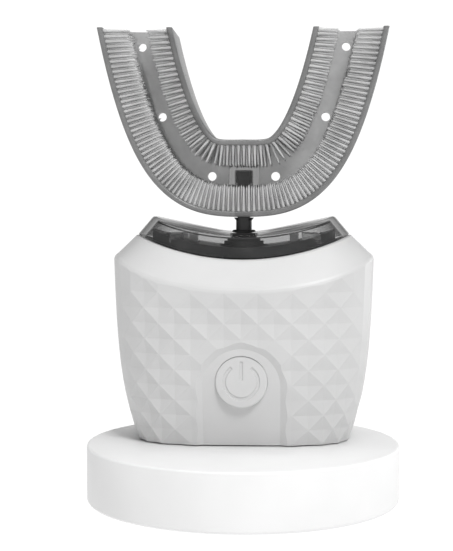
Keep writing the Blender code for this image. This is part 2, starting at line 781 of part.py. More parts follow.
def collar_half(z, inset=0.0):
    """Half sizes of the collar's slanted outside at a height on the centre line."""
    share = (z - CROWN) / COLLAR_HEIGHT
    x = RIM_HALF[0] - share * COLLAR_RUN - inset
    y = RIM_HALF[1] - share * COLLAR_RUN - inset
    return (x, y)


def collar():
    edge = 0.5
    under = COLLAR_CROWN - COLLAR_TOP
    hole = (BOOT_NECK[0] + GAP, BOOT_NECK[1] + GAP)
    bend = CROWN_BEND
    rings = [
        ring(collar_half(HEAD_BOTTOM), HEAD_BOTTOM, BODY_POWER, bend=bend),
        ring(collar_half(COLLAR_CROWN - edge), COLLAR_CROWN - edge, BODY_POWER, bend=bend),
        ring(collar_half(COLLAR_CROWN, edge * 0.6), COLLAR_CROWN, BODY_POWER, bend=bend),
        ring(hole, COLLAR_CROWN, BOOT_POWER, bend=bend),
        ring(hole, under, BOOT_POWER, bend=bend),
        ring(collar_half(under, COLLAR_WALL), under, BODY_POWER, bend=bend),
        ring(collar_half(HEAD_BOTTOM, COLLAR_WALL), HEAD_BOTTOM, BODY_POWER, bend=bend),
    ]
    add_node("collar", "head", "smoky_polycarbonate", loft(rings, closed=True))


def head_base():
    half = collar_half(HEAD_BASE_TOP, COLLAR_WALL + GAP)
    node = add_node(
        "head_base", "head", "black_abs",
        plate(half, HEAD_BOTTOM, HEAD_BASE_TOP, bend=CROWN_BEND),
    )
    for tag, side in (("left", -1), ("right", 1)):
        for number, (start, end) in enumerate(BLOCK_RANGES, 1):
            join(node, shoulder_block(side, start, end), f"{tag}_block_{number}")
    boss_half = PIVOT_PIN_LENGTH / 2 + BOSS_END_WALL
    boss_low = PIVOT_Z - PIVOT_PIN_RADIUS - GAP - PIVOT_WALL
    boss = block(
        (-BOSS_HALF_WIDTH, HANDLE_Y - boss_half, boss_low),
        (BOSS_HALF_WIDTH, HANDLE_Y + boss_half, HEAD_BASE_TOP - BITE),
    )
    join(node, boss, "pivot_boss")
    cut(node, head_base_slots(), "slots")
    half_length = PIVOT_PIN_LENGTH / 2 + GAP
    radius = PIVOT_PIN_RADIUS + GAP
    profile = [(radius, HANDLE_Y - half_length), (radius, HANDLE_Y + half_length)]
    cut(node, turned(profile, "Y", (0.0, PIVOT_Z), count=24), "pin_bore")


def shoulder_block(side, start, end):
    """A dark block inside the collar's shoulder; it follows the collar's slanted wall."""
    top = COLLAR_CROWN - COLLAR_TOP - BLOCK_CLEARANCE
    inset = COLLAR_WALL + 2 * GAP
    bm = bmesh.new()
    loops = []
    for step in range(BLOCK_STEPS + 1):
        x = start + (end - start) * step / BLOCK_STEPS
        ceiling = top - BLOCK_SLOPE * (x - BLOCK_RANGES[0][0])
        section = []
        for z in (HEAD_BASE_TOP - BITE, ceiling):
            depth = depth_at(collar_half(max(z, HEAD_BASE_TOP), inset), x)
            section.append((depth, z + CROWN_BEND * x * x))
        (wide, low), (narrow, high) = section
        corners = [(-wide, low), (wide, low), (narrow, high), (-narrow, high)]
        loops.append([bm.verts.new((side * x, HANDLE_Y + y, z)) for y, z in corners])
    for near, far in zip(loops, loops[1:]):
        for i in range(len(near)):
            j = (i + 1) % len(near)
            bm.faces.new((near[i], near[j], far[j], far[i]))
    bm.faces.new(loops[0])
    bm.faces.new(loops[-1])
    return bm


def head_base_slots():
    """Openings for the stem's hub and for the two latches."""
    hub = max(hub_radius(), fork_sizes()[2]) + SLIDE_GAP
    depth = STEM_HALF[1] + GAP
    high = HEAD_BASE_TOP + BITE
    low = PIVOT_Z - 5.0
    bm = block((-hub, HANDLE_Y - depth, low), (hub, HANDLE_Y + depth, high))
    for side in (-1, 1):
        near = side * (LATCH_START - GAP)
        far = side * (LATCH_START + LATCH_WIDTH + GAP)
        depth = LATCH_HALF_DEPTH + GAP
        corner = (min(near, far), HANDLE_Y - depth, HEAD_BOTTOM - 1.0)
        block(corner, (max(near, far), HANDLE_Y + depth, COLLAR_CROWN + 2.0), bm)
    return bm


def latches():
    """Spring posts that reach from under the collar's top down into the deck."""
    for name, side in (("head_latch_left", -1), ("head_latch_right", 1)):
        low = DECK_TOP - 1.2
        top = COLLAR_CROWN - COLLAR_TOP - GAP + CROWN_BEND * LATCH_START ** 2
        near, far = side * LATCH_START, side * (LATCH_START + LATCH_WIDTH)
        corner = (min(near, far), HANDLE_Y - LATCH_HALF_DEPTH, low)
        bm = block(corner, (max(near, far), HANDLE_Y + LATCH_HALF_DEPTH, top))
        add_node(name, "head", "smoky_polycarbonate", bm)


def stem_boot():
    """Soft stepped boot that seals the stem where it comes out of the head."""
    low = HEAD_BASE_TOP + GAP
    wide = [(radius, radius * BOOT_SQUASH) for radius in BOOT_STEPS]
    hole = BOOT_HOLE
    under = COLLAR_CROWN - COLLAR_TOP - GAP
    step = (under - low) / len(wide)
    rings = []
    for count, half in enumerate(wide):
        rings.append(ring(half, low + step * count, BOOT_POWER, bend=CROWN_BEND))
        rings.append(ring(half, low + step * (count + 1), BOOT_POWER, bend=CROWN_BEND))
    rings.append(ring(BOOT_NECK, under, BOOT_POWER, bend=CROWN_BEND))
    rings.append(ring(BOOT_NECK, COLLAR_CROWN + BOOT_ABOVE, BOOT_POWER))
    rings.append(ring(hole, COLLAR_CROWN + BOOT_ABOVE, BOOT_POWER))
    rings.append(ring((hub_radius() + SLIDE_GAP, hole[1]), low, BOOT_POWER, bend=CROWN_BEND))
    add_node("stem_boot", "head", "rubber", loft(rings, closed=True))


def pivot_pin():
    half = PIVOT_PIN_LENGTH / 2
    profile = [(PIVOT_PIN_RADIUS, HANDLE_Y - half), (PIVOT_PIN_RADIUS, HANDLE_Y + half)]
    bm = turned(profile, "Y", (0.0, PIVOT_Z), count=20)
    add_node("pivot_pin", "head", "steel", bm)


# ---- Stem and mouthpiece ---------------------------------------------------------------


def hub_radius():
    return PIVOT_PIN_RADIUS + GAP + PIVOT_WALL


def fork_sizes():
    """Fork bottom, slot half width and fork half width, from the crank that turns in it."""
    low = CRANK_TOP + SLIDE_GAP
    sway = (PIVOT_Z - low) * math.tan(SWING)
    slot = CRANK_PIN_RADIUS + CRANK_OFFSET + sway + 0.15
    return low, slot, slot + 0.9


def stem_frame():
    low, slot, fork = fork_sizes()
    top = TRAY_BOTTOM + SOCKET_DEPTH
    stem_top = top - STEM_KEY
    rings = [
        ring(STEM_HALF, PIVOT_Z, STEM_POWER),
        ring(STEM_HALF, TRAY_BOTTOM - GAP - FLANGE_FLARE, STEM_POWER),
        ring((FLANGE_HALF_WIDTH, STEM_HALF[1]), TRAY_BOTTOM - GAP, STEM_POWER),
        ring(smaller(STEM_HALF, STEM_SKIN), TRAY_BOTTOM - GAP, STEM_POWER),
        ring(smaller(STEM_HALF, STEM_SKIN), stem_top, STEM_POWER),
        ring(SOCKET_HALF, stem_top, SOCKET_POWER),
        ring(SOCKET_HALF, top, SOCKET_POWER),
    ]
    node = add_node("stem_frame", "mouthpiece", "black_abs", loft(rings))
    half_depth = STEM_HALF[1]
    radius = hub_radius()
    front, back = HANDLE_Y - half_depth, HANDLE_Y + half_depth
    join(node, turned([(radius, front), (radius, back)], "Y", (0.0, PIVOT_Z), count=32), "hub")
    leg = block((-fork, front, low), (fork, back, PIVOT_Z - PIVOT_PIN_RADIUS - GAP - 0.4))
    join(node, leg, "fork")
    slot_top = CRANK_TOP + CRANK_PIN_LENGTH + SLIDE_GAP
    cut(node, block((-slot, front - 1.0, low - 1.0), (slot, back + 1.0, slot_top)), "fork_slot")
    bore = PIVOT_PIN_RADIUS + GAP
    profile = [(bore, front - 1.0), (bore, back + 1.0)]
    cut(node, turned(profile, "Y", (0.0, PIVOT_Z), count=24), "pin_bore")


def arch_point(share):
    """A point of the arch's centre line; share runs from -1 to 1 from end to end."""
    along = share * ARCH_END
    x = ARCH_HALF_SPAN * along
    z = TRAY_BOTTOM + TRAY_HALF_WIDTH[0] + ARCH_RISE * abs(along) ** ARCH_POWER
    return x, z


def arch_section(share):
    """The centre, outward direction and half width of the tray at a place on the arch."""
    x, z = arch_point(share)
    along = abs(share) * ARCH_END
    slope = ARCH_RISE * ARCH_POWER / ARCH_HALF_SPAN * along ** (ARCH_POWER - 1.0)
    normal = math.atan(slope) - math.pi / 2
    late = max(0.0, (abs(share) - END_TILT_START) / (1.0 - END_TILT_START))
    tilt = END_TILT * late * late
    half = TRAY_HALF_WIDTH[0] + (TRAY_HALF_WIDTH[1] - TRAY_HALF_WIDTH[0]) * abs(share)
    side = math.copysign(1.0, share)
    direction = (side * math.cos(normal + tilt), math.sin(normal + tilt))
    return (x, z), direction, half / math.cos(tilt)


def tray_outline(half):
    """The H-shaped section as (outwards, y) pairs: two walls and the web between them."""
    wall = half - TRAY_WALL
    web = TRAY_WEB / 2
    deep = TRAY_HALF_DEPTH
    return [
        (half, -deep), (half, deep), (wall, deep), (wall, web), (-wall, web), (-wall, deep),
        (-half, deep), (-half, -deep), (-wall, -deep), (-wall, -web), (wall, -web), (wall, -deep),
    ]


def mouthpiece_tray():
    bm = bmesh.new()
    loops = []
    for step in range(ARCH_SECTIONS + 1):
        share = 2.0 * step / ARCH_SECTIONS - 1.0
        (x, z), (dx, dz), half = arch_section(share)
        outline = tray_outline(half)
        loops.append([bm.verts.new((x + dx * s, HANDLE_Y + y, z + dz * s)) for s, y in outline])
    for low, high in zip(loops, loops[1:]):
        for i in range(len(low)):
            j = (i + 1) % len(low)
            bm.faces.new((low[i], low[j], high[j], high[i]))
    bm.faces.new(loops[0])
    bm.faces.new(loops[-1])
    node = add_node("mouthpiece_tray", "mouthpiece", "silicone", bm)
    socket = (SOCKET_HALF[0] + GAP, SOCKET_HALF[1] + GAP)
    sleeve = (socket[0] + SLEEVE_WALL, socket[1] + SLEEVE_WALL)
    top = TRAY_BOTTOM + SOCKET_DEPTH + GAP
    join(node, plate(sleeve, TRAY_BOTTOM + SLEEVE_START, top + SLEEVE_WALL, power=SOCKET_POWER), "sleeve")
    cut(node, plate(socket, TRAY_BOTTOM - 1.0, top, power=SOCKET_POWER), "socket")
    cut(node, tray_holes(), "holes")


def tray_holes():
    bm = bmesh.new()
    for place in HOLE_PLACES:
        for side in (-1, 1):
            x, z = arch_point(side * place / ARCH_END)
            profile = [(HOLE_RADIUS, HANDLE_Y - 3.0), (HOLE_RADIUS, HANDLE_Y + 3.0)]
            turned(profile, "Y", (x, z), count=20, bm=bm)
    return bm


# ---- Dock ------------------------------------------------------------------------------


def around(radius, first_degrees, count):
    """(x, y) places evenly round the dock's axis."""
    places = []
    for step in range(count):
        angle = math.radians(first_degrees + 360.0 * step / count)
        places.append((radius * math.cos(angle), radius * math.sin(angle)))
    return places


def screw_places():
    return around(SCREW_CIRCLE, 45.0, 4)


def dock_shell():
    edge = DOCK_EDGE
    profile = [(DOCK_INSIDE, CEILING), (DOCK_INSIDE, FLOOR_BOTTOM), (DOCK_RADIUS - edge, FLOOR_BOTTOM)]
    for step in range(1, 4):
        angle = math.pi / 2 * step / 3
        radius = DOCK_RADIUS - edge + edge * math.sin(angle)
        profile.append((radius, FLOOR_BOTTOM + edge * (1 - math.cos(angle))))
    for step in range(4):
        angle = math.pi / 2 * step / 3
        radius = DOCK_RADIUS - edge + edge * math.cos(angle)
        profile.append((radius, DOCK_HEIGHT - edge + edge * math.sin(angle)))
    node = add_node("dock_shell", "dock", "white_abs", turned(profile, count=80))
    peg = plate(PEG_HALF, DOCK_HEIGHT - BITE, DOCK_HEIGHT + PEG_HEIGHT, power=PEG_POWER, edge=PEG_EDGE)
    join(node, peg, "peg")
    bosses = bmesh.new()
    holes = bmesh.new()
    for place in screw_places():
        low = FLOOR_TOP + GAP
        turned([(BOSS_RADIUS, low), (BOSS_RADIUS, CEILING + BITE)], centre=place, count=24, bm=bosses)
        hole = SCREW_RADIUS + GAP
        deep = FLOOR_BOTTOM + 0.3 + SCREW_HEAD + SCREW_LENGTH + 0.6
        turned([(hole, low - BITE), (hole, deep)], centre=place, count=20, bm=holes)
    join(node, bosses, "bosses")
    cut(node, holes, "screw_holes")
    cut(node, inlet_opening(), "inlet_opening")


def inlet_z():
    return board_bottom() + BOARD_THICKNESS + GAP + INLET_HALF_HEIGHT


def inlet_mouth():
    return math.sqrt(DOCK_RADIUS ** 2 - INLET_HALF_WIDTH ** 2) - INLET_SETBACK


def slot_ring(y, grow):
    """A stadium in the XZ plane, for the inlet and its opening."""
    half_x, half_z = INLET_HALF_WIDTH + grow, INLET_HALF_HEIGHT + grow
    straight = half_x - half_z
    points = []
    for side, first in ((1, -90.0), (-1, 90.0)):
        for step in range(SLOT_STEPS + 1):
            angle = math.radians(first + 180.0 * step / SLOT_STEPS)
            x = side * straight + half_z * math.cos(angle)
            points.append((x, y, inlet_z() + half_z * math.sin(angle)))
    return points


def skin_slot(rings):
    bm = bmesh.new()
    loops = [[bm.verts.new(p) for p in points] for points in rings]
    for low, high in zip(loops, loops[1:]):
        for i in range(len(low)):
            j = (i + 1) % len(low)
            bm.faces.new((low[i], low[j], high[j], high[i]))
    bm.faces.new(loops[0])
    bm.faces.new(loops[-1])
    return bm


def inlet_opening():
    return skin_slot([slot_ring(DOCK_INSIDE - 2.0, GAP), slot_ring(DOCK_RADIUS + 1.0, GAP)])


def dock_inlet():
    """The supply socket: a metal shell open to the back, with its tongue."""
    mouth = inlet_mouth()
    back = mouth - INLET_DEPTH
    floor = back + INLET_FLOOR
    rings = [
        slot_ring(back, 0.0), slot_ring(mouth, 0.0),
        slot_ring(mouth, -INLET_WALL), slot_ring(floor, -INLET_WALL),
    ]
    node = add_node("dock_inlet", "dock", "steel", skin_slot(rings))
    z = inlet_z()
    half_x, half_z = TONGUE_HALF
    low = (-half_x, floor - BITE / 2, z - half_z)
    high = (half_x, mouth - TONGUE_SETBACK, z + half_z)
    join(node, block(low, high), "tongue")


def board_bottom():
    return FLOOR_TOP + PAD_HEIGHT + GAP


def cradle_outer():
    return COIL_OUTER + GAP + CRADLE_WALL


def dock_board():
    low_y = HANDLE_Y + cradle_outer() + 1.0
    high_y = math.sqrt(DOCK_INSIDE ** 2 - DOCK_BOARD_HALF_WIDTH ** 2) - 0.8
    low = (-DOCK_BOARD_HALF_WIDTH, low_y, board_bottom())
    high = (DOCK_BOARD_HALF_WIDTH, high_y, board_bottom() + BOARD_THICKNESS)
    add_node("dock_board", "dock", "circuit_board", block(low, high))


def dock_floor():
    radius = DOCK_INSIDE - GAP
    profile = [(radius, FLOOR_BOTTOM), (radius, FLOOR_TOP)]
    node = add_node("dock_floor", "dock", "grey_abs", turned(profile, count=48))
    pads = bmesh.new()
    low_y = HANDLE_Y + cradle_outer() + 1.4
    for side in (-1, 1):
        inner, outer = sorted((side * 7.0, side * (DOCK_BOARD_HALF_WIDTH - 0.6)))
        block((inner, low_y, FLOOR_TOP - BITE), (outer, low_y + 4.0, FLOOR_TOP + PAD_HEIGHT), pads)
    join(node, pads, "board_pads")
    holes = bmesh.new()
    for place in foot_places():
        turned(
            [(FOOT_RADIUS + GAP, FLOOR_BOTTOM - BITE), (FOOT_RADIUS + GAP, FLOOR_BOTTOM + FOOT_POCKET)],
            centre=place, count=32, bm=holes,
        )
    for place in screw_places():
        head = SCREW_HEAD_RADIUS + GAP
        shank = SCREW_RADIUS + GAP
        seat = FLOOR_BOTTOM + SCREW_HEAD + 0.3
        profile = [
            (head, FLOOR_BOTTOM - BITE), (head, seat + 0.1), (shank, seat + 0.1),
            (shank, FLOOR_TOP + BITE),
        ]
        turned(profile, centre=place, count=24, bm=holes)
    cut(node, holes, "pockets")


def dock_screws():
    for number, place in enumerate(screw_places(), 1):
        low = FLOOR_BOTTOM + 0.1
        head = low + SCREW_HEAD
        tip = head + SCREW_LENGTH
        profile = [
            (SCREW_HEAD_RADIUS - 0.3, low), (SCREW_HEAD_RADIUS, low + 0.3),
            (SCREW_HEAD_RADIUS, head), (SCREW_RADIUS, head), (SCREW_RADIUS, tip - 0.8), (0.3, tip),
        ]
        add_node(f"dock_screw_{number}", "dock", "steel", turned(profile, centre=place, count=24))


def foot_places():
    return around(DOCK_RADIUS - FOOT_INSET, 0.0, 4)


def dock_feet():
    edge = 0.15
    top = FLOOR_BOTTOM + FOOT_POCKET - GAP
    profile = [(FOOT_RADIUS - edge, 0.0), (FOOT_RADIUS, edge), (FOOT_RADIUS, top)]
    for number, place in enumerate(foot_places(), 1):
        bm = turned(profile, centre=place, count=32)
        add_node(f"dock_foot_{number}", "dock", "rubber", bm)


def transmitter():
    """The transmitting coil under the seat, its ferrite disc and the cradle that holds them."""
    centre = (0.0, HANDLE_Y)
    coil_top = CEILING - GAP
    coil_low = coil_top - COIL_HEIGHT
    profile = [
        (COIL_OUTER, coil_low), (COIL_OUTER, coil_top), (COIL_INNER, coil_top), (COIL_INNER, coil_low),
    ]
    coil = turned(profile, centre=centre, closed=True, count=48)
    add_node("dock_coil", "dock", "copper", coil)
    ferrite_top = coil_low - GAP
    ferrite_low = ferrite_top - FERRITE_HEIGHT
    disc = turned([(COIL_OUTER, ferrite_low), (COIL_OUTER, ferrite_top)], centre=centre, count=48)
    add_node("dock_ferrite", "dock", "ferrite", disc)
    outer, inner = cradle_outer(), COIL_OUTER + GAP
    shelf = ferrite_low - GAP
    profile = [
        (outer, FLOOR_TOP + GAP), (outer, CEILING - GAP), (inner, CEILING - GAP), (inner, shelf),
        (COIL_INNER, shelf), (COIL_INNER, shelf - 1.0), (inner, shelf - 1.0), (inner, FLOOR_TOP + GAP),
    ]
    cradle = turned(profile, centre=centre, closed=True, count=48)
    add_node("coil_cradle", "dock", "grey_abs", cradle)


def build():
    dock_shell()
    dock_floor()
    dock_feet()
    dock_screws()
    dock_board()
    dock_inlet()
    transmitter()
    body_shell()
    base_cap()
    base_seal()
    receiver_coil()
    chassis()
    battery_cell()
    main_board()
    board_screws()
    tact_switch()
    switch_plunger()
    button_cap()
    button_seal()
    motor()
    motor_bracket()
    rotor()
    top_deck()
    collar()
    head_base()
    latches()
    stem_boot()
    pivot_pin()
    stem_frame()
    mouthpiece_tray()


clear_scene()
PAINTS = {name: make_material(name) for name in MATERIALS}
EMPTIES = make_bodies()
build()
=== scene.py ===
import math
import random

import bmesh
import bpy
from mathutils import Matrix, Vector


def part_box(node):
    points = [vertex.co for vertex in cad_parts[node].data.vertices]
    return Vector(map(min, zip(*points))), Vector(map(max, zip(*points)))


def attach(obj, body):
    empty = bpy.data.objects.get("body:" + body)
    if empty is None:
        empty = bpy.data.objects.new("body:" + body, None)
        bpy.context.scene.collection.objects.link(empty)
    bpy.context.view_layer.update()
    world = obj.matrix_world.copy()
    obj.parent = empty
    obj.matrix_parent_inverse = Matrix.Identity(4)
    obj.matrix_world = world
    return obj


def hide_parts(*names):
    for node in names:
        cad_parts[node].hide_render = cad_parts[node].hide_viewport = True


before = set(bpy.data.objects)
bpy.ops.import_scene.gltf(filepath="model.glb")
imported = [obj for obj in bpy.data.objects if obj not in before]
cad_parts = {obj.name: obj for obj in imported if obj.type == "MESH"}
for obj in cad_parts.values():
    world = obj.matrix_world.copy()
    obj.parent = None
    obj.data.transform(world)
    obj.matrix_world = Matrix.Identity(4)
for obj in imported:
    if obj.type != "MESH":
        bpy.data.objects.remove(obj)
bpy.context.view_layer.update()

MM = 0.001  # the meshes below are worked out in millimetres

# ---- Sizes, in millimetres, repeated from the CAD model's design -------------------------

HANDLE_Y = 6.0
DOCK_RADIUS = 35.0
DOCK_HEIGHT = 13.3
DOCK_BOTTOM = 0.5
SHOULDER_HALF = (29.4, 18.5)
BODY_BOTTOM = 13.6
SHOULDER = 48.2
CROWN = 54.6
CHAMFER_RUN = 5.4
SHOULDER_BEND = 0.005
SHOULDER_LIFT = 3.5e-6
CROWN_BEND = 0.0092
BODY_TAPER = (1.4, 0.9)
BODY_TUCK = (4.0, 4.6)
TUCK_POWER = 3.6
BODY_POWER = 2.8
BODY_WALL = 2.0
RIM_WIDTH = 1.5
PANEL_HALF_WIDTH = (10.0, 8.5)  # at the surface and at the panel
PANEL_TOP = 36.9
PANEL_DEPTH = 0.8
BUTTON_RADIUS = 5.7
BUTTON_Z = 28.2
COLLAR_CROWN = 60.3
COLLAR_RUN = 3.6
COLLAR_WALL = 1.4
COLLAR_TOP = 0.8
HEAD_BOTTOM = 54.9
TRAY_BOTTOM = 63.9
ARCH_HALF_SPAN = 22.8
ARCH_RISE = 28.8
ARCH_POWER = 3.45
ARCH_END = 1.04
END_TILT = math.radians(12.0)
END_TILT_START = 0.55
TRAY_HALF_WIDTH = (8.5, 8.1)  # in the middle and at the ends
TRAY_HALF_DEPTH = 11.0
TRAY_WALL = 1.3
TRAY_WEB = 1.6
HOLE_RADIUS = 1.0
HOLE_PLACES = (0.315, 0.81, 1.008)  # in half spans of the arch
STEM_HALF = (2.1, 1.7)
STEM_IN_TRAY = 10.5  # how far the stem reaches up into the tray

# ---- Sizes of the detail that only this script makes -------------------------------------

FACET_WIDTH = 7.03
FACET_HEIGHT = 3.4
FACET_DEPTH = 0.6
FACET_REACH = 23.0  # how far to either side the facets keep their depth
FACET_FADE = 4.0
TOP_FADE = 2.6
PANEL_FADE = 1.8
FACET_UPRIGHT = 17.5  # columns nearer the middle than this run straight down
FACET_ROW_START = 17.1
SHOULDER_ROUND = 1.1  # how far the rounding of the shoulder edge reaches
RIM_ROUND = 0.4
ROOF_START = 0.8  # how far below the shoulder the hollow's roof starts
ROOF_END = 1.0  # and how far below the crown it ends
OVERCUT = 1.0  # how far a cutting shape reaches past what it cuts
HULL_MARGIN = 0.02  # keeps the smooth form just outside the facets' highest points
FACET_ANGLE = 1.2  # degrees; the facets meet at small angles and still have to look flat
BUTTON_CUT = (-16.0, HANDLE_Y - 8.0)  # the front and the back of the button's cutter
BUTTON_GAP = 0.04
BUTTON_EDGE = 0.35
BUTTON_RISE = 0.05  # how far the face's edge lies behind its middle
FLANGE_WIDTH = 0.8
FLANGE_THICKNESS = 0.8
FLANGE_GAP = 0.35  # from the flange to the handle's wall
PUSHER_RADIUS = 1.7
SYMBOL_RADIUS = 3.7
SYMBOL_STROKE = 0.4  # half of the line's width
SYMBOL_DEPTH = 0.26
SYMBOL_SLOPE = 0.35  # how much the groove narrows on each side
SYMBOL_OPENING = 40.0  # degrees from the top to where the ring starts
BAR_START = 0.7  # above the button's middle
BAR_PAST_RING = 0.4
COLLAR_EDGE = 0.6
COLLAR_HOLE = (3.1, 2.5)
SEAM_GAP = (0.06, 0.2)  # to the collar's wall and to its top
SEAM_WIDTH = 0.44
SEAM_HEIGHT = 0.3
BOOT_POWER = 2.2
BOOT_EDGE = 0.12
BOOT_SQUASH = 0.2  # how much shallower than wide a step is, as a share of its radius
BOOT_STEPS = ((5.5, 57.4), (4.5, 58.2), (3.75, 58.8), (2.95, 59.25))  # radius, top
BOOT_NECK = ((2.72, 59.3), (2.6, 60.0), (2.62, 60.55), (2.5, 60.78), (2.24, 60.84))
NECK_SQUASH = 0.35  # how much shallower than wide the neck is
BOOT_BORE = (2.16, 1.76)
BORE_TOP = 60.7
HOLE_CUT = 3.0  # to the front and the back of the web's middle
WEB_FILLET = 0.9
WEB_IN_WALL = 0.15
SLEEVE_WALL = 1.3
SLEEVE_POWER = 4.0
SLEEVE_EDGE = 0.3
BRISTLE_ROWS = 8
BRISTLE_PITCH = 1.15
BRISTLE_LENGTH = (5.7, 4.6)  # on the outer and on the inner wall
BRISTLE_RADIUS = 0.30
BRISTLE_SPREAD = (0.93, 1.05)  # the shortest and the longest, as a share of the length
BRISTLE_TAPER = ((0.0, 1.25), (0.45, 0.85), (0.92, 0.6))  # share of the length, of the radius
BRISTLE_ROOT = 0.1  # how far the root stands in the wall
BRISTLE_LEAN = 0.15
BRISTLE_END = 0.995  # keeps the last bristles off the tray's open ends
ROW_MARGIN = (0.9, 0.8)  # from the web to the first row and from the last row to the lip
DOCK_EDGE = 0.5
DOCK_FOOT = 0.9
DOCK_WALL = 1.8
DOCK_ROOF = 2.0
PEG_HALF = (6.0, 3.6)
PEG_HEIGHT = 2.4
PEG_EDGE = 0.3
PEG_POWER = 2.4
PEG_IN_DOCK = 0.4
SLOT_GAP = 0.28  # round the supply socket
SLOT_CUT = 4.0  # how far the slot is cut past the socket's ends
SHARP_ANGLE = 35.0  # degrees between faces at and above which an edge is drawn sharp


# ---- Meshes ------------------------------------------------------------------------------


def new_piece(name, bm, body, material, replaced=(), angle=SHARP_ANGLE):
    """Turns bm, in world millimetres, into a piece that rides on a body."""
    bmesh.ops.recalc_face_normals(bm, faces=bm.faces)
    bmesh.ops.scale(bm, verts=bm.verts, vec=(MM, MM, MM))
    mesh = bpy.data.meshes.new(name)
    bm.to_mesh(mesh)
    bm.free()
    made = bpy.data.objects.new(name, mesh)
    bpy.context.scene.collection.objects.link(made)
    made.data.materials.append(material)
    made.data.shade_smooth()
    made.data.set_sharp_from_angle(angle=math.radians(angle))
    if body:
        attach(made, body)
    if replaced:
        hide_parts(*replaced)
    return made


def apply_boolean(piece, bm, operation):
    """Cuts or joins bm (world millimetres) at once, so that no helper stays in the scene."""
    tool = new_piece("tool", bm, None, piece.data.materials[0])
    modifier = piece.modifiers.new("tool", "BOOLEAN")
    modifier.operation = operation
    modifier.solver = "EXACT"
    modifier.object = tool
    with bpy.context.temp_override(object=piece, active_object=piece):
        bpy.ops.object.modifier_apply(modifier=modifier.name)
    bpy.data.objects.remove(tool, do_unlink=True)
    piece.data.set_sharp_from_angle(angle=math.radians(SHARP_ANGLE))


def superellipse(half, power, count):
    """An oval; a higher power makes it squarer."""
    points = []
    for step in range(count):
        angle = 2.0 * math.pi * step / count
        c, s = math.cos(angle), math.sin(angle)
        x = half[0] * math.copysign(abs(c) ** (2.0 / power), c)
        y = half[1] * math.copysign(abs(s) ** (2.0 / power), s)
        points.append((x, y))
    return points


def ring(half, z, power=BODY_POWER, bend=0.0, count=192):
    """An oval round the handle's axis; bend raises its two sides."""
    return [(x, y + HANDLE_Y, z + bend * x * x) for x, y in superellipse(half, power, count)]


def cap(bm, loop):
    """Closes a ring with strips across Y, which stay flat on a bent surface."""
    count = len(loop)
    for step in range(count // 2):
        corners = [loop[step], loop[step + 1], loop[-step - 1], loop[-step % count]]
        bm.faces.new([v for i, v in enumerate(corners) if v not in corners[:i]])


def bridge(bm, low, high):
    """Joins two loops of vertices with a band of quads."""
    for i in range(len(low)):
        j = (i + 1) % len(low)
        bm.faces.new((low[i], low[j], high[j], high[i]))


def loft(rings, closed=False, bm=None):
    """Skins rings of points; closed joins the last to the first, otherwise both are capped."""
    bm = bm or bmesh.new()
    loops = [[bm.verts.new(p) for p in points] for points in rings]
    pairs = list(zip(loops, loops[1:]))
    if closed:
        pairs.append((loops[-1], loops[0]))
    for low, high in pairs:
        bridge(bm, low, high)
    if not closed:
        cap(bm, loops[0])
        cap(bm, loops[-1])
    return bm


def turned(profile, axis="Z", centre=(0.0, 0.0), count=64, bm=None):
    """Turns a (radius, height) profile about an axis along Z or Y."""
    rings = []
    for radius, along in profile:
        circle = []
        for step in range(count):
            angle = 2.0 * math.pi * step / count
            u, v = radius * math.cos(angle), radius * math.sin(angle)
            place = (centre[0] + u, centre[1] + v, along)
            if axis == "Y":
                place = (centre[0] + u, along, centre[1] + v)
            circle.append(place)
        rings.append(circle)
    return loft(rings, bm=bm)


def drawn_out(bm, near, far):
    """Closes the prism between two outlines of vertices."""
    bm.faces.new(near)
    bm.faces.new(far[::-1])
    for i in range(len(near)):
        j = (i + 1) % len(near)
        bm.faces.new((near[j], near[i], far[i], far[j]))


def smaller(half, by):
    return (half[0] - by, half[1] - by)


def skin_net(bm, net):
    for low, high in zip(net, net[1:]):
        for i in range(len(low) - 1):
            bm.faces.new((low[i], low[i + 1], high[i + 1], high[i]))


def net_border(net):
    """The pairs of neighbours along a net's edge."""
    loop = net[0] + [row[-1] for row in net[1:-1]] + net[-1][::-1]
    loop += [row[0] for row in net[-2:0:-1]]
    return list(zip(loop, loop[1:] + loop[:1]))


def arc(first, last, radius, steps, centre=(0.0, 0.0)):
    """Points of an arc, in degrees."""
    points = []
    for step in range(steps + 1):
        angle = math.radians(first + (last - first) * step / steps)
        x = centre[0] + radius * math.cos(angle)
        y = centre[1] + radius * math.sin(angle)
        points.append((x, y))
    return points


# ---- Materials ---------------------------------------------------------------------------


def grey(level):
    return (level, level, level)


